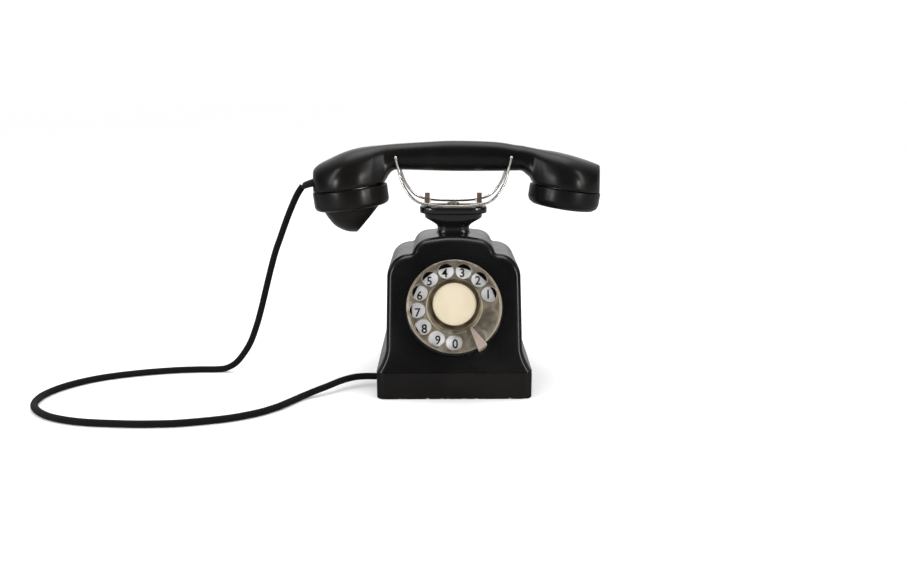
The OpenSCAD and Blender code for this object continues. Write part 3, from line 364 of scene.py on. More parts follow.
def setStage():
    scene = bpy.context.scene
    camData = bpy.data.cameras.new("camera")
    camData.lens, camData.sensor_width = view["lens"], 36.0
    camData.clip_end = 200
    camera = bpy.data.objects.new("camera", camData)
    camera.location = view["place"]
    camera.rotation_euler = (Vector(view["aim"]) - Vector(view["place"])).to_track_quat("-Z", "Y").to_euler()
    bpy.context.collection.objects.link(camera)
    scene.camera = camera
    scene.view_settings.view_transform = "Standard"

    world = bpy.data.worlds.new("studio")
    world.use_nodes = True
    scene.world = world
    tree = world.node_tree
    direction = addNode(tree, "ShaderNodeTexCoord").outputs["Generated"]
    tilt = addNode(tree, "ShaderNodeVectorMath", {0: direction, 1: (0, 0.65, 0.75)}, operation="DOT_PRODUCT")
    fade = addNode(tree, "ShaderNodeMapRange", {  # polished parts see a bright ceiling and dark walls
        "From Min": 0.3, "From Max": 0.95, "To Min": studio["horizon"], "To Max": studio["overhead"],
        "Value": tilt.outputs["Value"]}, interpolation_type="SMOOTHSTEP")
    rays = addNode(tree, "ShaderNodeLightPath").outputs["Is Glossy Ray"]
    seen = addNode(tree, "ShaderNodeMix", {0: rays, 2: studio["sky"], 3: fade.outputs["Result"]})
    back = tree.nodes["Background"]
    back.inputs["Color"].default_value = (1, 1, 1, 1)
    tree.links.new(seen.outputs[0], back.inputs["Strength"])

    for name, place, wide, tall, power in (
            ("topLight", (0.0, 0.35, 1.5), 1.2, 1.0, studio["topPower"]),
            ("leftLight", (-1.15, -0.75, 0.75), 0.22, 1.1, studio["sidePower"]),
            ("rightLight", (1.15, -0.75, 0.75), 0.22, 1.1, studio["sidePower"]),
            ("lowLeftLight", (-1.2, -1.3, 0.35), 0.22, 0.22, studio["frontPower"]),
            ("lowRightLight", (1.2, -1.3, 0.35), 0.22, 0.22, studio["frontPower"])):
        lamp = bpy.data.lights.new(name, "AREA")
        lamp.shape, lamp.size, lamp.size_y, lamp.energy = "RECTANGLE", wide, tall, power
        light = bpy.data.objects.new(name, lamp)
        light.location = place
        light.rotation_euler = (Vector((0, 0, 0.1)) - Vector(place)).to_track_quat("-Z", "Y").to_euler()
        bpy.context.collection.objects.link(light)

    makeFloor()
    print("stage set")


def makeFloor():
    half = studio["floorSize"] / 2
    corners = [(-half, -half, 0), (half, -half, 0), (half, half, 0), (-half, half, 0)]
    mesh = bpy.data.meshes.new("floor")
    mesh.from_pydata(corners, [], [(0, 1, 2, 3)])
    floor = bpy.data.objects.new("floor", mesh)
    bpy.context.collection.objects.link(floor)
    material = bpy.data.materials.new("paleFloor")
    material.use_nodes = True
    tree = material.node_tree
    shader = tree.nodes["Principled BSDF"]
    cloud = addNode(tree, "ShaderNodeTexNoise", {"Scale": 3.0})
    tone = addNode(tree, "ShaderNodeMapRange", {
        "To Min": 0.93, "To Max": 0.97, "Value": cloud.outputs["Fac"]})
    rays = addNode(tree, "ShaderNodeLightPath").outputs["Is Glossy Ray"]
    mirrored = addNode(tree, "ShaderNodeMapRange", {  # the table looks darker in the object's polish
        "To Min": 1.0, "To Max": studio["tableInPolish"], "Value": rays})
    dimmed = mathNode(tree, "MULTIPLY", tone.outputs["Result"], mirrored.outputs["Result"])
    tree.links.new(dimmed, shader.inputs["Base Color"])
    shader.inputs["Roughness"].default_value = 0.8
    shader.inputs["Specular IOR Level"].default_value = 0.1
    mesh.materials.append(material)


setStage()

cord = dict(diameter=5.5, sides=20, strands=8, weaveLong=15, freeHigh=12,
            start=(-118.1, -4, 165.9),  # mouth end of the handset
            sleeve=[(-3, -0.6, 3.9), (0, 0, 3.7), (3, 0.9, 3.5), (6, 1.9, 3.4), (8.4, 2.8, 3.3),
                    (9.4, 3.1, 2.95)],  # out, down and radius
            drop=[(0, 1), (4.6, 0.957), (8.7, 0.905), (12.9, 0.845), (16.9, 0.782), (20.9, 0.716),
                  (24.9, 0.65), (29.4, 0.557), (33.8, 0.457), (38.4, 0.351), (43.6, 0.245), (50.6, 0.139),
                  (61, 0.048), (70, 0.01), (79, 0)],
            out=[(0.9, 0), (17, 0.5), (38, 3)],
            bight=[(58, 11), (30, 25), (10, 46), (0.5, 72), (5, 98), (24, 120), (52, 133), (86, 138),
                   (110, 138.5)],
            back=[(136, 97, 0), (106, 88, 0), (86, 76, 0), (74, 63.5, 0), (68, 54.5, 0), (56.8, 35.5, 0),
                  (46.8, 28.5, 0.45), (38, 20.9, 0.72), (29, 10.5, 0.9), (19, 3.6, 1.05), (9.5, 0.5, 1.04),
                  (0, 0, 1)],
            reach=-330, gland=(-64.05, -43.5, 8))


def cordRoute():  # down from the sleeve, round on the table and back to the base
    lie = cord["diameter"] / 2
    sx, sy, sz = cord["start"][0] - 9, cord["start"][1], cord["start"][2] - 3
    gx, gy, gz = cord["gland"]
    points = [(sx - dx, sy, mix(lie, sz, share)) for dx, share in cord["drop"]]
    tx, ty, tz = points[-1]
    points += [(tx - dx, ty - dy, tz) for dx, dy in cord["out"][1:]]
    points += [(cord["reach"] + dx, sy - dy, lie) for dx, dy in cord["bight"]]
    points += [(gx - dx, gy - dy, mix(lie, gz, up)) for dx, dy, up in cord["back"]]
    return points


def sweep(name, path, radius, sides, side):  # a tube carried along a path without twist
    rings, along, spot = [], [0.0], Vector(side)
    for i, p in enumerate(path):
        way = (Vector(path[min(i + 1, len(path) - 1)]) - Vector(path[max(i - 1, 0)])).normalized()
        spot = (spot - way * spot.dot(way)).normalized()
        other = way.cross(spot)
        rings.append([Vector(p) + radius * (cos(2 * pi * k / sides) * spot + sin(2 * pi * k / sides) * other)
                      for k in range(sides)])
        if i:
            along.append(along[-1] + (Vector(p) - Vector(path[i - 1])).length)
    verts = [v * mm for ring in rings for v in ring]
    faces, uvs = [], []
    for j in range(len(rings) - 1):
        for i in range(sides):
            k = (i + 1) % sides
            faces.append((j * sides + i, (j + 1) * sides + i, (j + 1) * sides + k, j * sides + k)[::-1])
            around = (i / sides, (i + 1) / sides)
            uvs += [(around[1], along[j]), (around[1], along[j + 1]),
                    (around[0], along[j + 1]), (around[0], along[j])]
    faces.append(tuple(range(sides - 1, -1, -1)))
    faces.append(tuple((len(rings) - 1) * sides + i for i in range(sides)))
    mesh = bpy.data.meshes.new(name)
    mesh.from_pydata(verts, [], faces)
    layer = mesh.uv_layers.new(name="along")
    for loop, uv in enumerate(uvs):
        layer.data[loop].uv = uv
    mesh.shade_smooth()
    piece = bpy.data.objects.new(name, mesh)
    bpy.context.collection.objects.link(piece)
    return piece, along[-1]


def makeBraid():  # black cotton plait over the cord
    material = bpy.data.materials.new("cordBraid")
    material.use_nodes = True
    tree = material.node_tree
    shader = tree.nodes["Principled BSDF"]
    uv = addNode(tree, "ShaderNodeUVMap", uv_map="along")
    split = addNode(tree, "ShaderNodeSeparateXYZ", {"Vector": uv.outputs["UV"]})

    def math(operation, a, b=0.0):
        return mathNode(tree, operation, a, b)

    # strands round the cord, and along it in millimetres
    turns = math("MULTIPLY", split.outputs["X"], float(cord["strands"]))
    length = math("MULTIPLY", split.outputs["Y"], cord["strands"] / cord["weaveLong"])
    weave = []
    for sign in (1, -1):
        slope = math("ADD", turns, math("MULTIPLY", length, float(sign)))
        weave.append(math("ABSOLUTE", math("SINE", math("MULTIPLY", slope, pi))))
    over = math("GREATER_THAN", math("SINE", math("MULTIPLY", math("ADD", turns, length), pi)), 0.0)
    top = math("MAXIMUM", math("MULTIPLY", weave[0], 0.9), weave[1])
    where = addNode(tree, "ShaderNodeTexCoord").outputs["Object"]
    fibre = addNode(tree, "ShaderNodeTexNoise", {"Scale": 1400, "Detail": 3, "Vector": where}).outputs["Fac"]
    height = math("ADD", top, math("MULTIPLY", fibre, 0.5))
    height = math("ADD", height, math("MULTIPLY", over, 0.1))
    # the colour is darker in the grooves between the strands and lighter on their crests: painted shade, over
    # a random fibre tone
    colour = addNode(tree, "ShaderNodeMix", {
        "Factor": math("MULTIPLY", top, fibre), 6: (0.0015, 0.0015, 0.0016, 1),
        7: (0.006, 0.0056, 0.0056, 1)}, data_type="RGBA")
    bump = addNode(tree, "ShaderNodeBump", {"Strength": 0.9, "Distance": 0.0005, "Height": height})
    rough = math("ADD", math("MULTIPLY", fibre, 0.25), 0.6)
    tree.links.new(bump.outputs["Normal"], shader.inputs["Normal"])
    tree.links.new(colour.outputs[2], shader.inputs["Base Color"])
    tree.links.new(rough, shader.inputs["Roughness"])
    shader.inputs["Specular IOR Level"].default_value = 0.12
    shader.inputs["Sheen Weight"].default_value = 0.03
    shader.inputs["Sheen Roughness"].default_value = 0.5
    return material


def makeCord():
    path = smoothPath(cordRoute(), 12)
    piece, length = sweep("handset_cord", path, cord["diameter"] / 2, cord["sides"], (0, 1, 0))
    piece.data.materials.append(makeBraid())
    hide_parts("handset_cord_drop", "handset_cord_table")
    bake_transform(piece)
    x, y, z = cord["start"]
    rings = []
    for out, down, r in cord["sleeve"]:
        turns = [2 * pi * k / 32 for k in range(32)]
        rings.append([(x - out + r * 0.3 * cos(a), y + r * sin(a), z - down + r * cos(a)) for a in turns])
    sleeve = loft("cord_sleeve", rings, sharp=60)
    settle(sleeve, "handset", "blackRubber", "cord_sleeve")
    print("cord laid:", round(length), "mm")


makeCord()


plinth = dict(width=124.4, depth=162, height=22, corner=7, wall=3, edge=0.9, topEdge=1.2,
              cordHoles=9.24, cordHoleY=-43.5, lineHoleX=25, holeHigh=8)


def roundedOutline(width, depth, corner, inset=0.0, steps=8):
    a, b = width / 2 - inset, depth / 2 - inset
    r = max(corner - inset, 0.6)
    return roundCorners([(a, -b, r), (a, b, r), (-a, b, r), (-a, -b, r)], steps)


def makePlinth():
    w, d, h, c = plinth["width"], plinth["depth"], plinth["height"], plinth["corner"]
    rings = []
    levels = [(plinth["wall"], h - 3), (plinth["wall"], 0.3), (plinth["wall"] - 0.3, 0)]
    for k in range(5):  # bottom edge, then the top edge
        t = k / 4 * pi / 2
        levels.append((plinth["edge"] * (1 - sin(t)), plinth["edge"] * (1 - cos(t))))
    for k in range(6):
        t = k / 5 * pi / 2
        levels.append((plinth["topEdge"] * (1 - cos(t)), h - plinth["topEdge"] * (1 - sin(t))))
    for inset, z in levels:
        rings.append([(x, y, z) for x, y in roundedOutline(w, d, c, inset)])
    rings.append([(x, y, h) for x, y in roundedOutline(w, d, c, 12)])
    body = loft("plinth", rings)
    for x, y, axis in ((-w / 2, plinth["cordHoleY"], "Y"), (plinth["lineHoleX"], d / 2, "X")):
        place = shifted(x, y, plinth["holeHigh"]) @ Matrix.Rotation(pi / 2, 4, axis)
        cutBy(body, rod(plinth["cordHoles"] / 2, -9, 9, 48, place))
    settle(body, "base", "plinthPaint", "plinth")
    print("plinth made")


makePlinth()

case = dict(foot=22, top=124.3, half=54.7, flare=7.5, flareHigh=18, shoulderX=36.7, shoulderZ=92.5,
            shoulderR=18, domeX=19.5, domeZ=107.5, domeR=15, crown=1.8, lean=24.5, rearLean=28, rearR=14,
            edge=5.2, rearEdge=3.5, frontY=-81, rearY=81, wall=2, dialZ=69, dialHole=34.5, backMiddle=70)


def caseSide():  # right-hand outline, from the foot to the middle of the top
    points = []
    for i in range(19):
        u = i / 18
        points.append((case["half"] + case["flare"] * (1 - u) ** 1.7, case["foot"] + case["flareHigh"] * u))
    for i in range(1, 7):
        points.append((case["half"], mix(case["foot"] + case["flareHigh"], case["shoulderZ"], i / 7)))
    for i in range(19):
        a = pi / 2 * i / 18
        points.append((case["shoulderX"] + case["shoulderR"] * cos(a),
                       case["shoulderZ"] + case["shoulderR"] * sin(a)))
    for i in range(19):
        a = radians(mix(12, 78, i / 18))
        points.append((case["domeX"] + case["domeR"] * cos(a), case["domeZ"] + case["domeR"] * sin(a)))
    for i in range(1, 13):
        x = case["domeX"] * (1 - i / 12)
        points.append((x, case["top"] - case["crown"] * (x / case["domeX"]) ** 2))
    return points


def caseLoop(inset):  # open outline, right foot over the top to the left foot, moved inward
    right = caseSide()
    line = right + [(-x, z) for x, z in right[-2::-1]]
    out = []
    for i, (x, z) in enumerate(line):
        ax, az = line[max(i - 1, 0)]
        bx, bz = line[min(i + 1, len(line) - 1)]
        nx, nz = bz - az, ax - bx
        size = hypot(nx, nz)
        nx, nz = nx / size, nz / size
        out.append((x - inset * nx, z - inset * nz))
    if inset < 0.05:
        return out
    for _ in range(2):  # evens the points that bunch up in the notch
        out = [out[0]] + [((out[i - 1][0] + 2 * out[i][0] + out[i + 1][0]) / 4,
                           (out[i - 1][1] + 2 * out[i][1] + out[i + 1][1]) / 4)
                          for i in range(1, len(out) - 1)] + [out[-1]]
    reach = 16
    return footCut(out[:reach + 1]) + out[reach + 1:-reach - 1] + footCut(out[:-reach - 2:-1])[::-1]


def footCut(line):  # what lies below the case's foot is cut off, and the rest spaced evenly again
    first = next(i for i, p in enumerate(line) if i and p[1] > case["foot"] + 0.02)
    (ax, az), (bx, bz) = line[first - 1], line[first]
    t = (case["foot"] - az) / (bz - az) if az < case["foot"] else 0
    kept = [(mix(ax, bx, t), case["foot"])] + line[first:]
    far = [0.0]
    for p, q in zip(kept, kept[1:]):
        far.append(far[-1] + hypot(q[0] - p[0], q[1] - p[1]))
    out, k = [], 0
    for i in range(len(line)):
        want = far[-1] * i / (len(line) - 1)
        while k < len(kept) - 2 and far[k + 1] < want:
            k += 1
        t = (want - far[k]) / (far[k + 1] - far[k])
        out.append((mix(kept[k][0], kept[k + 1][0], t), mix(kept[k][1], kept[k + 1][1], t)))
    out[0] = kept[0]
    return out


def caseFrontY(z):
    return case["frontY"] + (z - case["foot"]) * tan(radians(case["lean"]))


def caseRearY(z):
    k, r = radians(case["rearLean"]), case["rearR"]
    zc = case["top"] - r
    yc = case["rearY"] - (zc - case["foot"]) * tan(k) - r / cos(k)
    start = zc + r * sin(k)
    if z <= start:
        return case["rearY"] - (z - case["foot"]) * tan(k)
    return yc + sqrt(max(r * r - (z - zc) ** 2, 0))


def makeCase():
    edge, rear = case["edge"], case["rearEdge"]
    rings = []

    def ringAt(inset):  # the open outline, closed below by a row of points along the foot
        line = caseLoop(inset)
        x = line[0][0]
        return line + [(mix(-x, x, k / 24), case["foot"]) for k in range(1, 24)]

    middle, squash = case["dialZ"], cos(radians(case["lean"]))
    flat = ringAt(edge)
    hole = []
    for x, z in flat:
        a = atan2(z - middle, x)
        # the hole is round about the dial's axis, so it is flattened when seen from the front
        hole.append((case["dialHole"] * cos(a), middle + case["dialHole"] * sin(a) * squash))
    for t in (1, 0.8, 0.55, 0.3, 0.08, 0.012, 0):
        row = [(mix(a[0], b[0], t), mix(a[1], b[1], t)) for a, b in zip(flat, hole)]
        rings.append([(x, caseFrontY(z), z) for x, z in row])
    for k in range(1, 8):  # front edge
        t = k / 7 * pi / 2
        row = ringAt(edge * (1 - sin(t)))
        rings.append([(x, caseFrontY(z) + edge * (1 - cos(t)), z) for x, z in row])
    for t in (0.012, 0.1, 0.3, 0.5, 0.7, 0.9, 0.988):  # side walls
        row = ringAt(0)
        rings.append([(x, mix(caseFrontY(z) + edge, caseRearY(z) - rear, t), z) for x, z in row])
    for k in range(6):  # rear edge
        t = k / 5 * pi / 2
        row = ringAt(rear * (1 - cos(t)))
        rings.append([(x, caseRearY(z) - rear * (1 - sin(t)), z) for x, z in row])
    back = ringAt(rear)
    for t in (0.01, 0.15, 0.35, 0.6, 0.8, 0.93):  # rear face, drawn in to its middle
        row = [(mix(x, 0, t), mix(z, case["backMiddle"], t)) for x, z in back]
        rings.append([(x, caseRearY(z), z) for x, z in row])
    body = loft("case_shell", rings, closeEnds=False)
    openFoot(body)
    wall = body.modifiers.new("wall", "SOLIDIFY")
    wall.thickness, wall.offset = case["wall"] * mm, -1
    evaluated(body)
    body.data.set_sharp_from_angle(angle=radians(45))
    settle(body, "base", "blackEnamel", "case_shell")
    print("case made")


def openFoot(piece):  # takes away the floor between the front and rear, and closes the rear's middle
    bm = bmesh.new()
    bm.from_mesh(piece.data)
    floor = [f for f in bm.faces if all(abs(v.co.z - case["foot"] * mm) < 1e-6 for v in f.verts)]
    bmesh.ops.delete(bm, geom=floor, context="FACES")
    loops = [e for e in bm.edges if e.is_boundary and all(v.co.y > 0 and abs(v.co.x) < 0.006 and v.co.z > 0.04
                                                          for v in e.verts)]
    bmesh.ops.holes_fill(bm, edges=loops)
    bmesh.ops.recalc_face_normals(bm, faces=bm.faces)
    bm.to_mesh(piece.data)
    bm.free()
    piece.data.shade_smooth()
    piece.data.set_sharp_from_angle(angle=radians(45))


makeCase()

pedestal = dict(middle=-4, foot=123.1, power=0.72, sides=128,  # rows are height, half width, half depth
                rows=[(0, 14.9, 12.4), (0.8, 14.2, 11.7), (1.8, 13.7, 11.2), (3.2, 13.5, 11), (5.4, 13.5, 11),
                      (6.8, 13.9, 11.2), (8.4, 15.7, 11.8), (9.8, 17.8, 12.4), (11, 19.9, 13),
                      (12.2, 22.2, 13.3), (13.2, 23.5, 13.4), (14, 24.1, 13.45), (16.6, 24.5, 13.6),
                      (17, 24.9, 13.7), (17.2, 26.4, 14), (17.35, 27.4, 14.3), (17.7, 28.1, 14.65),
                      (18.2, 28.3, 14.8), (21.9, 28.3, 14.8), (22.4, 28.15, 14.65), (22.8, 27.8, 14.3),
                      (23, 27.2, 13.8), (23, 20, 9), (23, 8, 4)])


def makePedestal():
    rings = []
    for up, a, b in pedestal["rows"]:
        ring = []
        for k in range(pedestal["sides"]):
            w = 2 * pi * (k + 0.5) / pedestal["sides"]
            c, s = cos(w), sin(w)
            x = a * abs(c) ** pedestal["power"] * (1 if c > 0 else -1)
            y = b * abs(s) ** pedestal["power"] * (1 if s > 0 else -1)
            ring.append((x, pedestal["middle"] + y, pedestal["foot"] + up))
        rings.append(ring)
    body = loft("pedestal", rings, sharp=60)
    settle(body, "base", "blackEnamel", "pedestal")
    print("pedestal made")


makePedestal()

dial = dict(place=(0, -81 + 47 * tan(radians(24.5)), 69), lean=24.5, wheelR=38, wheelZ=10.4, wheelThick=1.6,
            beadWide=1.5, holes=10, holeRing=29.5, holeR=6.2, firstHole=19.6, step=27.74, lip=0.7,
            hubR=20.7, hubTop=18.4, cardR=17.5, cardZ=19.4, plateR=34.2, plateTop=3.25,
            digitHigh=7.3, digitRing=29.5, digitLift=0.7, digitTurn=2.0, digitBold=0.15, digits="1234567890",
            stopAngle=-52, stopZ=14.2, stopIn=21.8, stopOut=39.05, stopThick=1.6, stopBend=1.6)
dialPlace = shifted(*dial["place"]) @ Matrix.Rotation(radians(90 - dial["lean"]), 4, "X")


def nodeTree(name, sockets):  # an empty tree with named inputs
    tree = bpy.data.node_groups.new(name, "GeometryNodeTree")
    tree.interface.new_socket("Geometry", in_out="INPUT", socket_type="NodeSocketGeometry")
    for label, kind, value in sockets:
        socket = tree.interface.new_socket(label, in_out="INPUT", socket_type="NodeSocket" + kind)
        if value is not None:
            socket.default_value = value
    tree.interface.new_socket("Geometry", in_out="OUTPUT", socket_type="NodeSocketGeometry")
    return tree, tree.nodes.new("NodeGroupInput"), tree.nodes.new("NodeGroupOutput")


def finishTree(tree, given, result, *parts):  # joins the parts, makes them real and gives them their material
    both = addNode(tree, "GeometryNodeJoinGeometry")
    for part in parts:
        tree.links.new(part.outputs[0], both.inputs[0])
    whole = addNode(tree, "GeometryNodeRealizeInstances", {0: both.outputs[0]})
    dress = addNode(tree, "GeometryNodeSetMaterial", {
        "Geometry": whole.outputs[0], "Material": given.outputs["Material"]})
    tree.links.new(dress.outputs[0], result.inputs[0])
    return tree


def growWith(piece, tree, values):  # runs the tree on the piece and keeps its result as a plain mesh
    step = piece.modifiers.new(tree.name, "NODES")
    step.node_group = tree
    for socket in tree.interface.items_tree:
        if socket.in_out == "INPUT" and socket.name in values:
            step[socket.identifier] = values[socket.name]
    return evaluated(piece)


def drillTree():  # holes on a ring, and a raised lip round each one
    tree, given, result = nodeTree("ringOfHoles", [
        ("Holes", "Int", 10), ("Ring radius", "Float", 0.0295), ("Hole radius", "Float", 0.0062),
        ("First angle", "Float", 0.0), ("Step", "Float", 0.5), ("Drill height", "Float", 0.01),
        ("Drill length", "Float", 0.02), ("Lip", "Float", 0.0), ("Lip height", "Float", 0.0),
        ("Material", "Material", None)])
    wanted = given.outputs
    points = addNode(tree, "GeometryNodePoints", {"Count": wanted["Holes"]})
    index = addNode(tree, "GeometryNodeInputIndex")
    angle = addNode(tree, "ShaderNodeMath", {
        0: index.outputs[0], 1: wanted["Step"], 2: wanted["First angle"]}, operation="MULTIPLY_ADD")
    spots = {}
    for height in ("Drill height", "Lip height"):
        place = addNode(tree, "ShaderNodeCombineXYZ", {"Z": wanted[height]})
        for axis, wave in (("X", "COSINE"), ("Y", "SINE")):
            turn = addNode(tree, "ShaderNodeMath", {0: angle.outputs[0]}, operation=wave)
            reach = mathNode(tree, "MULTIPLY", turn.outputs[0], wanted["Ring radius"])
            tree.links.new(reach, place.inputs[axis])
        spots[height] = addNode(tree, "GeometryNodeSetPosition", {
            "Geometry": points.outputs[0], "Position": place.outputs[0]}).outputs[0]
    drill = addNode(tree, "GeometryNodeMeshCylinder", {
        "Vertices": 48, "Radius": wanted["Hole radius"], "Depth": wanted["Drill length"]})
    drills = addNode(tree, "GeometryNodeInstanceOnPoints", {
        "Points": spots["Drill height"], "Instance": drill.outputs["Mesh"]})
    real = addNode(tree, "GeometryNodeRealizeInstances", {0: drills.outputs[0]})
    cut = addNode(tree, "GeometryNodeMeshBoolean", {
        "Mesh 1": wanted["Geometry"], "Mesh 2": real.outputs[0]}, operation="DIFFERENCE")

    half = mathNode(tree, "MULTIPLY", wanted["Lip"], 0.5)
    lipR = mathNode(tree, "ADD", wanted["Hole radius"], half)
    path = addNode(tree, "GeometryNodeCurvePrimitiveCircle", {"Resolution": 48, "Radius": lipR})
    section = addNode(tree, "GeometryNodeCurvePrimitiveCircle", {"Resolution": 10, "Radius": half})
    lip = addNode(tree, "GeometryNodeCurveToMesh", {
        "Curve": path.outputs[0], "Profile Curve": section.outputs[0]})
    asked = addNode(tree, "FunctionNodeCompare", {0: wanted["Lip"]}, data_type="FLOAT",
                    operation="GREATER_THAN")
    lips = addNode(tree, "GeometryNodeInstanceOnPoints", {
        "Points": spots["Lip height"], "Instance": lip.outputs[0], "Selection": asked.outputs[0]})
    return finishTree(tree, given, result, lips, cut)


ringOfHoles = drillTree()


def makeDialCup():
    profile = roundCorners([(32.6, -30, 0), (34, -30, 0), (34, 0.1, 0.2), (39, 0.1, 0.5), (39, 7.6, 0.9),
                            (36.6, 7.6, 0.5), (36.6, 2, 0.5), (14, 2, 0.2), (14, 0.1, 0), (32.6, 0.1, 0)])
    cup = lathe("dial_cup", profile, 160, dialPlace)
    settle(cup, "base", "blackEnamel", "dial_cup")
    top, out = dial["plateTop"], dial["plateR"]
    profile = roundCorners([(15, 2.05, 0), (out, 2.05, 0), (out, top, 0.5), (15, top, 0)])
    plate = lathe("number_plate", profile, 160, dialPlace)
    settle(plate, "base", "whiteEnamel", "number_plate")


def makeDigits():  # one mesh of the ten upright numbers, raised a hair above the plate
    parts = bmesh.new()
    for i, digit in enumerate(dial["digits"]):
        text = bpy.data.curves.new("digit", "FONT")
        text.body = digit
        text.size = 0.01
        text.extrude = 0.00004
        text.resolution_u = 6
        text.offset = dial["digitBold"] * mm
        label = bpy.data.objects.new("digit", text)
        bpy.context.collection.objects.link(label)
        shape = evaluated(label, "digitMesh")
        xs = [v.co.x for v in shape.data.vertices]
        ys = [v.co.y for v in shape.data.vertices]
        size = dial["digitHigh"] * mm / (max(ys) - min(ys))
        middle = Vector(((max(xs) + min(xs)) / 2, (max(ys) + min(ys)) / 2, 0))
        a = radians(dial["firstHole"] + dial["digitTurn"] + i * dial["step"])
        spot = Vector((cos(a), sin(a), 0)) * dial["digitRing"] * mm
        spot += Vector((0, dial["digitLift"], dial["plateTop"] + 0.02)) * mm
        shape.data.transform(Matrix.Translation(spot) @ Matrix.Diagonal((size * 0.94, size, 1, 1))
                             @ Matrix.Translation(-middle))
        parts.from_mesh(shape.data)
        bpy.data.objects.remove(shape)
    mesh = bpy.data.meshes.new("dial_digits")
    parts.to_mesh(mesh)
    parts.free()
    tidyMesh(mesh)
    mesh.transform(dialPlace)
    digits = bpy.data.objects.new("dial_digits", mesh)
    bpy.context.collection.objects.link(digits)
    settle(digits, "base", "digitInk")


def makeFingerWheel():
    low, high, out = dial["wheelZ"], dial["wheelZ"] + dial["wheelThick"], dial["wheelR"]
    rim, hub = out - dial["beadWide"], dial["hubR"]
    profile = roundCorners([(18.3, low, 0), (rim, low, 0.3), (rim, low - 1.4, 0.5), (out, low - 1.4, 0.7),
                            (out, high + 1, 0.7), (rim, high + 1, 0.7), (rim, high, 0.5),
                            (hub + 0.9, high, 1.2), (hub, dial["hubTop"], 0.3), (2.02, dial["hubTop"], 0),
                            (2.02, 15, 0), (18.3, 15, 0)])
    wheel = lathe("finger_wheel", profile, 192)
    wheel = growWith(wheel, ringOfHoles, {
        "Holes": dial["holes"], "Ring radius": dial["holeRing"] * mm, "Hole radius": dial["holeR"] * mm,
        "First angle": radians(dial["firstHole"]), "Step": radians(dial["step"]), "Drill height": 11.5 * mm,
        "Drill length": 9 * mm, "Lip": dial["lip"] * mm, "Lip height": (high + 0.1) * mm,
        "Material": finishFor("agedNickel")})
    wheel.data.transform(dialPlace)
    wheel.data.shade_smooth()
    wheel.data.set_sharp_from_angle(angle=radians(38))
    settle(wheel, "dial", "agedNickel", "finger_wheel")


def makeCard():
    r, hub, top = dial["cardR"], dial["hubR"], dial["cardZ"]
    profile = roundCorners([(hub, 18.45, 0.2), (hub, top + 1.6, 0.75), (r - 0.4, top + 1.6, 0.25),
                            (r - 0.4, top + 1.05, 0), (r + 0.4, top + 1.05, 0), (r + 0.4, 18.45, 0)])
    ring = lathe("card_ring", profile, 160, dialPlace)
    settle(ring, "dial", "oldBrass", "card_ring")
    profile = [(0, 18.5), (r - 1, 18.5), (r - 1, top), (r - 0.05, top), (r, top + 0.1),
               (r - 0.1, top + 0.4), (0, top + 0.4)]
    paper = lathe("card", profile, 128, dialPlace, closed=False)
    settle(paper, "dial", "creamPaper", "card")
    profile = [(0, top + 0.5), (r, top + 0.5), (r, top + 0.95), (r - 3, top + 1.0), (0, top + 1.05)]
    cover = lathe("card_cover", profile, 128, dialPlace, closed=False)
    settle(cover, "dial", "clearCover", "card_cover")


def makeFingerStop():  # one curved strip, from the tip over the rim and down outside it
    inner, outer = dial["stopIn"], dial["stopOut"] + 0.8
    z, thick, middle, bend = dial["stopZ"], dial["stopThick"], dial["stopAngle"], dial["stopBend"]
    wideLeft, wideRight = middle - 10.3, middle + 1.8  # its two edges at the rim, in degrees
    rows = []
    for i in range(15):  # the blade
        t = i / 14
        r = mix(inner, outer - bend, t)
        u = (r - inner) / (outer + 0.8 - inner)
        rows.append((r, z + thick / 2 + 0.35 * sin(pi * t), 0.0, middle - 3.5 - 6.8 * u ** 0.55,
                     middle + 0.2 + 1.6 * u ** 0.6))
    for k in range(1, 7):  # the fold
        a = pi / 2 * k / 6
        rows.append((outer - bend + bend * sin(a), z + thick / 2 - bend + bend * cos(a), a,
                     wideLeft, wideRight))
    for k in range(1, 6):  # the part that goes down outside the rim
        rows.append((outer, mix(z + thick / 2 - bend, 1, k / 5), pi / 2,
                     wideLeft + 0.3 * k, wideRight - 0.3 * k))
    rings = []
    for n, (r, up, fold, left, right) in enumerate(rows):
        t = thick / 2 * (0.55 if n == 0 else 0.85 if n == 1 else 1)
        a, b = radians(left), radians(right)
        half = r * (b - a) / 2
        mid = (a + b) / 2
        corners = roundCorners([(-half, -t, 0.45 * t), (half, -t, 0.45 * t),
                                (half, t, 0.9 * t), (-half, t, 0.9 * t)], 3)
        ring = []
        for side, lift in corners:
            rr = r + lift * sin(fold)
            angle = mid + side / r
            ring.append((rr * cos(angle), rr * sin(angle), up + lift * cos(fold)))
        rings.append(ring)
    stop = loft("finger_stop", rings, place=dialPlace, sharp=60)
    settle(stop, "base", "stopNickel", "finger_stop")


makeDialCup()
makeDigits()
makeFingerWheel()
makeCard()
makeFingerStop()
print("dial made")

cradle = dict(middle=-4, ringZ=147, wireR=1.15, tipR=1.4, barsZ=148.05, barHigh=1.45, barX=22, barWide=5.8,
              barLong=44.4,
              run=[(-47.7, 15, 40.5), (-46.9, 14, 36), (-45.7, 13, 31.2), (-44.3, 13.4, 26),
                   (-41.9, 15.4, 19), (-37.7, 18, 12), (-32.3, 20, 6.4), (-25.3, 21.6, 3.4),
                   (-14, 22.6, 1.6), (0, 23, 1.2)])


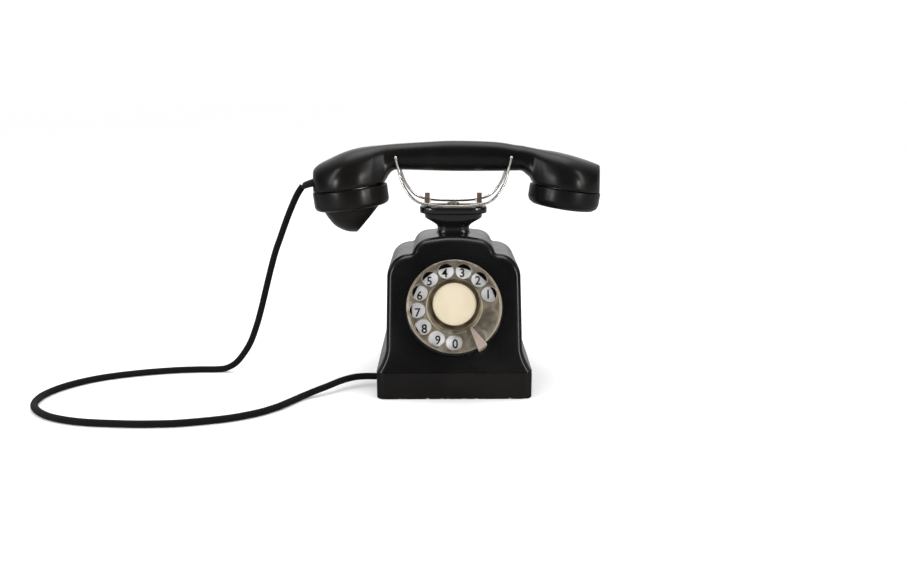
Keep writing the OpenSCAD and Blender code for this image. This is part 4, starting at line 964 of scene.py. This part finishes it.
def wireTree():  # a round wire along the curve, with a ball on each end
    tree, given, result = nodeTree("roundWire", [
        ("Wire radius", "Float", 0.001), ("Sides", "Int", 16), ("Tip radius", "Float", 0.001),
        ("Material", "Material", None)])
    wanted = given.outputs
    section = addNode(tree, "GeometryNodeCurvePrimitiveCircle", {
        "Resolution": wanted["Sides"], "Radius": wanted["Wire radius"]})
    tube = addNode(tree, "GeometryNodeCurveToMesh", {
        "Curve": wanted["Geometry"], "Profile Curve": section.outputs[0], "Fill Caps": True})
    ends = addNode(tree, "GeometryNodeCurveEndpointSelection")
    keep = addNode(tree, "GeometryNodeCaptureAttribute", {"Geometry": wanted["Geometry"]}, domain="POINT")
    keep.capture_items.new("FLOAT", "ends")
    tree.links.new(ends.outputs[0], keep.inputs[1])
    spots = addNode(tree, "GeometryNodeCurveToPoints", {"Curve": keep.outputs["Geometry"]}, mode="EVALUATED")
    ball = addNode(tree, "GeometryNodeMeshUVSphere", {
        "Segments": 24, "Rings": 14, "Radius": wanted["Tip radius"]})
    tips = addNode(tree, "GeometryNodeInstanceOnPoints", {
        "Points": spots.outputs["Points"], "Selection": keep.outputs[1], "Instance": ball.outputs["Mesh"]})
    return finishTree(tree, given, result, tips, tube)


def curveAlong(name, points):
    data = bpy.data.curves.new(name, "CURVE")
    data.dimensions = "3D"
    line = data.splines.new("POLY")
    line.points.add(len(points) - 1)
    for spot, p in zip(line.points, points):
        spot.co = (p[0] * mm, p[1] * mm, p[2] * mm, 1)
    piece = bpy.data.objects.new(name, data)
    bpy.context.collection.objects.link(piece)
    return piece


def makeCradle():
    roundWire = wireTree()
    for side, name in ((-1, "cradle_front_wire"), (1, "cradle_rear_wire")):
        left = [(x, cradle["middle"] + side * y, cradle["ringZ"] + z) for x, y, z in cradle["run"]]
        path = smoothPath(left + [(-x, y, z) for x, y, z in left[-2::-1]], 8)
        wire = growWith(curveAlong(name, path), roundWire, {
            "Wire radius": cradle["wireR"] * mm, "Sides": 20, "Tip radius": cradle["tipR"] * mm,
            "Material": finishFor("nickelWire")})
        wire.data.shade_smooth()
        wire.data.set_sharp_from_angle(angle=radians(60))
        settle(wire, "cradle", "nickelWire", name)
    bars = bmesh.new()
    z, y, across, long = cradle["barsZ"], cradle["middle"], cradle["barWide"] / 2, cradle["barLong"] / 2
    for side in (-1, 1):
        x = side * cradle["barX"]
        bar = softBox("bar", (x - across, y - long, z), (x + across, y + long, z + cradle["barHigh"]), 0.5)
        bars.from_mesh(bar.data)
        bpy.data.objects.remove(bar)
    mesh = bpy.data.meshes.new("cradle_bars")
    bars.to_mesh(mesh)
    bars.free()
    tidyMesh(mesh, 50)
    piece = bpy.data.objects.new("cradle_bars", mesh)
    bpy.context.collection.objects.link(piece)
    settle(piece, "cradle", "nickelWire", "cradle_bars")


makeCradle()
print("cradle made")

handset = dict(grip=175.5, crown=200.7, mouthX=-87.3, earX=94.6, mouthZ=161.8, earZ=161.2, mouthTilt=7.1,
               earTilt=-8.4, mouthR=31.5, earR=30, capHigh=16.5, middle=-4, sides=72, smooth=4,
               hornX=24.2, hornUp=1.4, hornWall=2.2,
               horn=[(186, 46.4), (195, 43.6), (204, 41), (212, 37.8), (220, 34.4), (228.5, 30)])


def endPlace(x, z, tilt):  # one of the handset's ends
    return shifted(x, handset["middle"], z) @ Matrix.Rotation(radians(-tilt), 4, "Y")


mouthPlace = endPlace(handset["mouthX"], handset["mouthZ"], handset["mouthTilt"])
earPlace = endPlace(handset["earX"], handset["earZ"], handset["earTilt"])


def handsetRows():  # x, top, bottom, half depth and roundness of the underside
    l, r, g, c = handset["mouthX"], handset["earX"], handset["grip"], handset["crown"]
    return [(l - 30.6, g - 1.2, g - 16.6, 2, 0.03), (l - 30, g + 1, g - 16.8, 7.5, 0.03),
            (l - 28, g + 3.6, g - 16.8, 13.5, 0.03), (l - 24, g + 6.6, g - 16.5, 20, 0.03),
            (l - 18, g + 9.6, g - 15.9, 25.4, 0.03), (l - 9, g + 13.8, g - 14.8, 29.6, 0.03),
            (l, g + 17.2, g - 13.7, 30.8, 0.03), (l + 9, g + 19.4, g - 12.6, 29.2, 0.03),
            (l + 18, g + 20.7, g - 11.4, 24.6, 0.04), (l + 24, g + 21.3, g - 10.7, 20, 0.08),
            (l + 28.6, g + 21.7, g - 9.6, 16.4, 0.14), (l + 30.6, g + 21.9, g - 7.2, 14.8, 0.22),
            (l + 33.4, g + 22.2, g - 2.6, 13.4, 0.32), (l + 37, g + 22.5, g + 0.6, 12.7, 0.4),
            (l + 42, g + 22.9, g + 1.2, 12.2, 0.46), (l + 62, mix(g, c, 0.955), g + 0.7, 12, 0.5),
            (0, c, g, 12, 0.5), (r - 60, mix(g, c, 0.96), g, 12, 0.5),
            (r - 43, g + 21.7, g + 0.3, 12.2, 0.46), (r - 37, g + 21, g + 0.1, 12.6, 0.4),
            (r - 33, g + 20.2, g - 2.8, 13.2, 0.32), (r - 30, g + 19.6, g - 5.6, 14.6, 0.22),
            (r - 28, g + 19.2, g - 9, 16, 0.14), (r - 24, g + 18.4, g - 10.4, 19.4, 0.08),
            (r - 18, g + 17.4, g - 11.6, 24, 0.04), (r - 9, g + 16, g - 12.9, 28.4, 0.03),
            (r, g + 14, g - 14.3, 29.6, 0.03), (r + 9, g + 11.6, g - 15.7, 28.2, 0.03),
            (r + 18, g + 8.8, g - 17, 23.4, 0.03), (r + 24, g + 6.6, g - 17.8, 17.2, 0.03),
            (r + 27.4, g + 5.2, g - 18.3, 10.4, 0.03), (r + 28.6, g + 4.2, g - 18.5, 4, 0.03)]


def makeHandsetBody():
    rings = []
    for x, top, bottom, half, roundness in smoothPath(handsetRows(), handset["smooth"]):
        z = mix(bottom, top, roundness)
        power = mix(0.74, 1, min(roundness * 2, 1))
        ring = []
        for k in range(handset["sides"]):
            a = 2 * pi * (k + 0.5) / handset["sides"]
            c, s = cos(a), sin(a)
            p = power if s > 0 else 1
            y = half * abs(c) ** p * (1 if c > 0 else -1)
            high = (top - z) if s > 0 else (z - bottom)
            ring.append((x, handset["middle"] + y, z + high * abs(s) ** p * (1 if s > 0 else -1)))
        rings.append(ring)
    body = loft("handset_body", rings, sharp=75)
    settle(body, "handset", "bakelite", "handset_body")


def listeningHoles(cap, ringR, holeR, low, high):  # six holes round one in the middle
    growWith(cap, ringOfHoles, {
        "Holes": 6, "Ring radius": ringR * mm, "Hole radius": holeR * mm, "First angle": 0.0, "Step": pi / 3,
        "Drill height": (low + high) / 2 * mm, "Drill length": (high - low) * mm, "Lip": 0.0,
        "Material": finishFor("bakelite")})
    cutBy(cap, rod(holeR, low, high, 32))


def makeCaps():
    r, h = handset["earR"], handset["capHigh"]
    profile = roundCorners([(0, -0.7, 0), (r - 6, -0.7, 0), (r - 6, -0.1, 0), (r, -0.1, 0.8),
                            (r, -h + 5.9, 2), (r - 1.2, -h + 2.7, 2), (r - 4.2, -h + 0.5, 1.5),
                            (r - 8, -h - 0.1, 2), (r - 11, -h + 0.5, 2), (0, -h + 4.9, 0)], closed=False)
    ear = lathe("ear_cap", profile, 144, closed=False)
    listeningHoles(ear, 6, 1.4, -h - 1, -h + 12)
    ear.data.transform(earPlace)
    settle(ear, "handset", "bakelite", "ear_cap")
    r = handset["mouthR"]
    profile = roundCorners([(0, -0.7, 0), (r - 6, -0.7, 0), (r - 6, -0.1, 0), (r, -0.1, 1.2),
                            (r, -h + 3.5, 1.6), (r - 1, -h + 1.1, 1.5), (r - 3.4, -h - 0.1, 1),
                            (0, -h - 0.1, 0)], closed=False)
    mouth = lathe("mouth_cap", profile, 144, closed=False)
    listeningHoles(mouth, 5, 1.3, -h - 1, -h + 12)
    mouth.data.transform(mouthPlace)
    settle(mouth, "handset", "bakelite", "mouth_cap")


def hornRing(angle, width, wall):
    a, r = radians(angle), width / 2
    ring = []
    for k in range(64):
        w = 2 * pi * k / 64
        q = r + (r - wall) * cos(w)
        ring.append((cos(a) * q, (r - wall) * 1.02 * sin(w), sin(a) * q))
    return ring


def makeHorn():  # rings that turn about the horn's inner edge, out to the lip and back inside
    rows = smoothPath(handset["horn"], 4)
    wide, wall = 45, handset["hornWall"]
    foot = [(x, y, 2.5 + 0.12 * x) for x, y, _ in hornRing(180, wide, 0)]
    inner = [(x, y, 3.5 + 0.12 * x) for x, y, _ in hornRing(180, wide, wall)]
    rings = [foot] + [hornRing(a, w, 0) for a, w in rows]
    a, w = rows[-1]
    for k in range(1, 6):  # rounded lip
        t = pi * k / 6
        rings.append(hornRing(a + 1.8 * sin(t), w, wall / 2 * (1 - cos(t))))
    rings += [hornRing(a, w, wall) for a, w in rows[::-1]] + [inner]
    place = shifted(handset["mouthX"] + handset["hornX"], handset["middle"],
                    handset["mouthZ"] - handset["capHigh"] + handset["hornUp"])
    horn = loft("mouth_horn", rings, place=place, sharp=60)
    settle(horn, "handset", "bakelite")


makeHandsetBody()
makeCaps()
makeHorn()
print("handset made")

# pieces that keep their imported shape
keptFinishes = {
    "dullSteel": "bottom_plate hook_bracket gong_posts ringer_frame dial_shaft plunger_rod hook_lever "
                 "clapper",
    "screwSteel": "bottom_screws case_screws pedestal_screws dial_screws gong_screws",
    "brass": "dial_frame spring_drum governor_cup terminal_screws main_gear pulse_pinion governor",
    "springSilver": "pulse_contacts hook_contacts",
    "springSteel": "mainspring cradle_spring",
    "bellMetal": "gong_left gong_right",
    "winding": "ringer_coils induction_coil",
    "tinnedCan": "capacitor receiver transmitter",
    "blackBoard": "terminal_block",
    "blackRubber": "cord_grommet line_grommet",
    "oldBrass": "cradle_bridge",
    "rustySteel": "guide_posts",
}
for finish, names in keptFinishes.items():
    for name in names.split():
        paint(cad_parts[name], finish)
print("kept pieces painted")
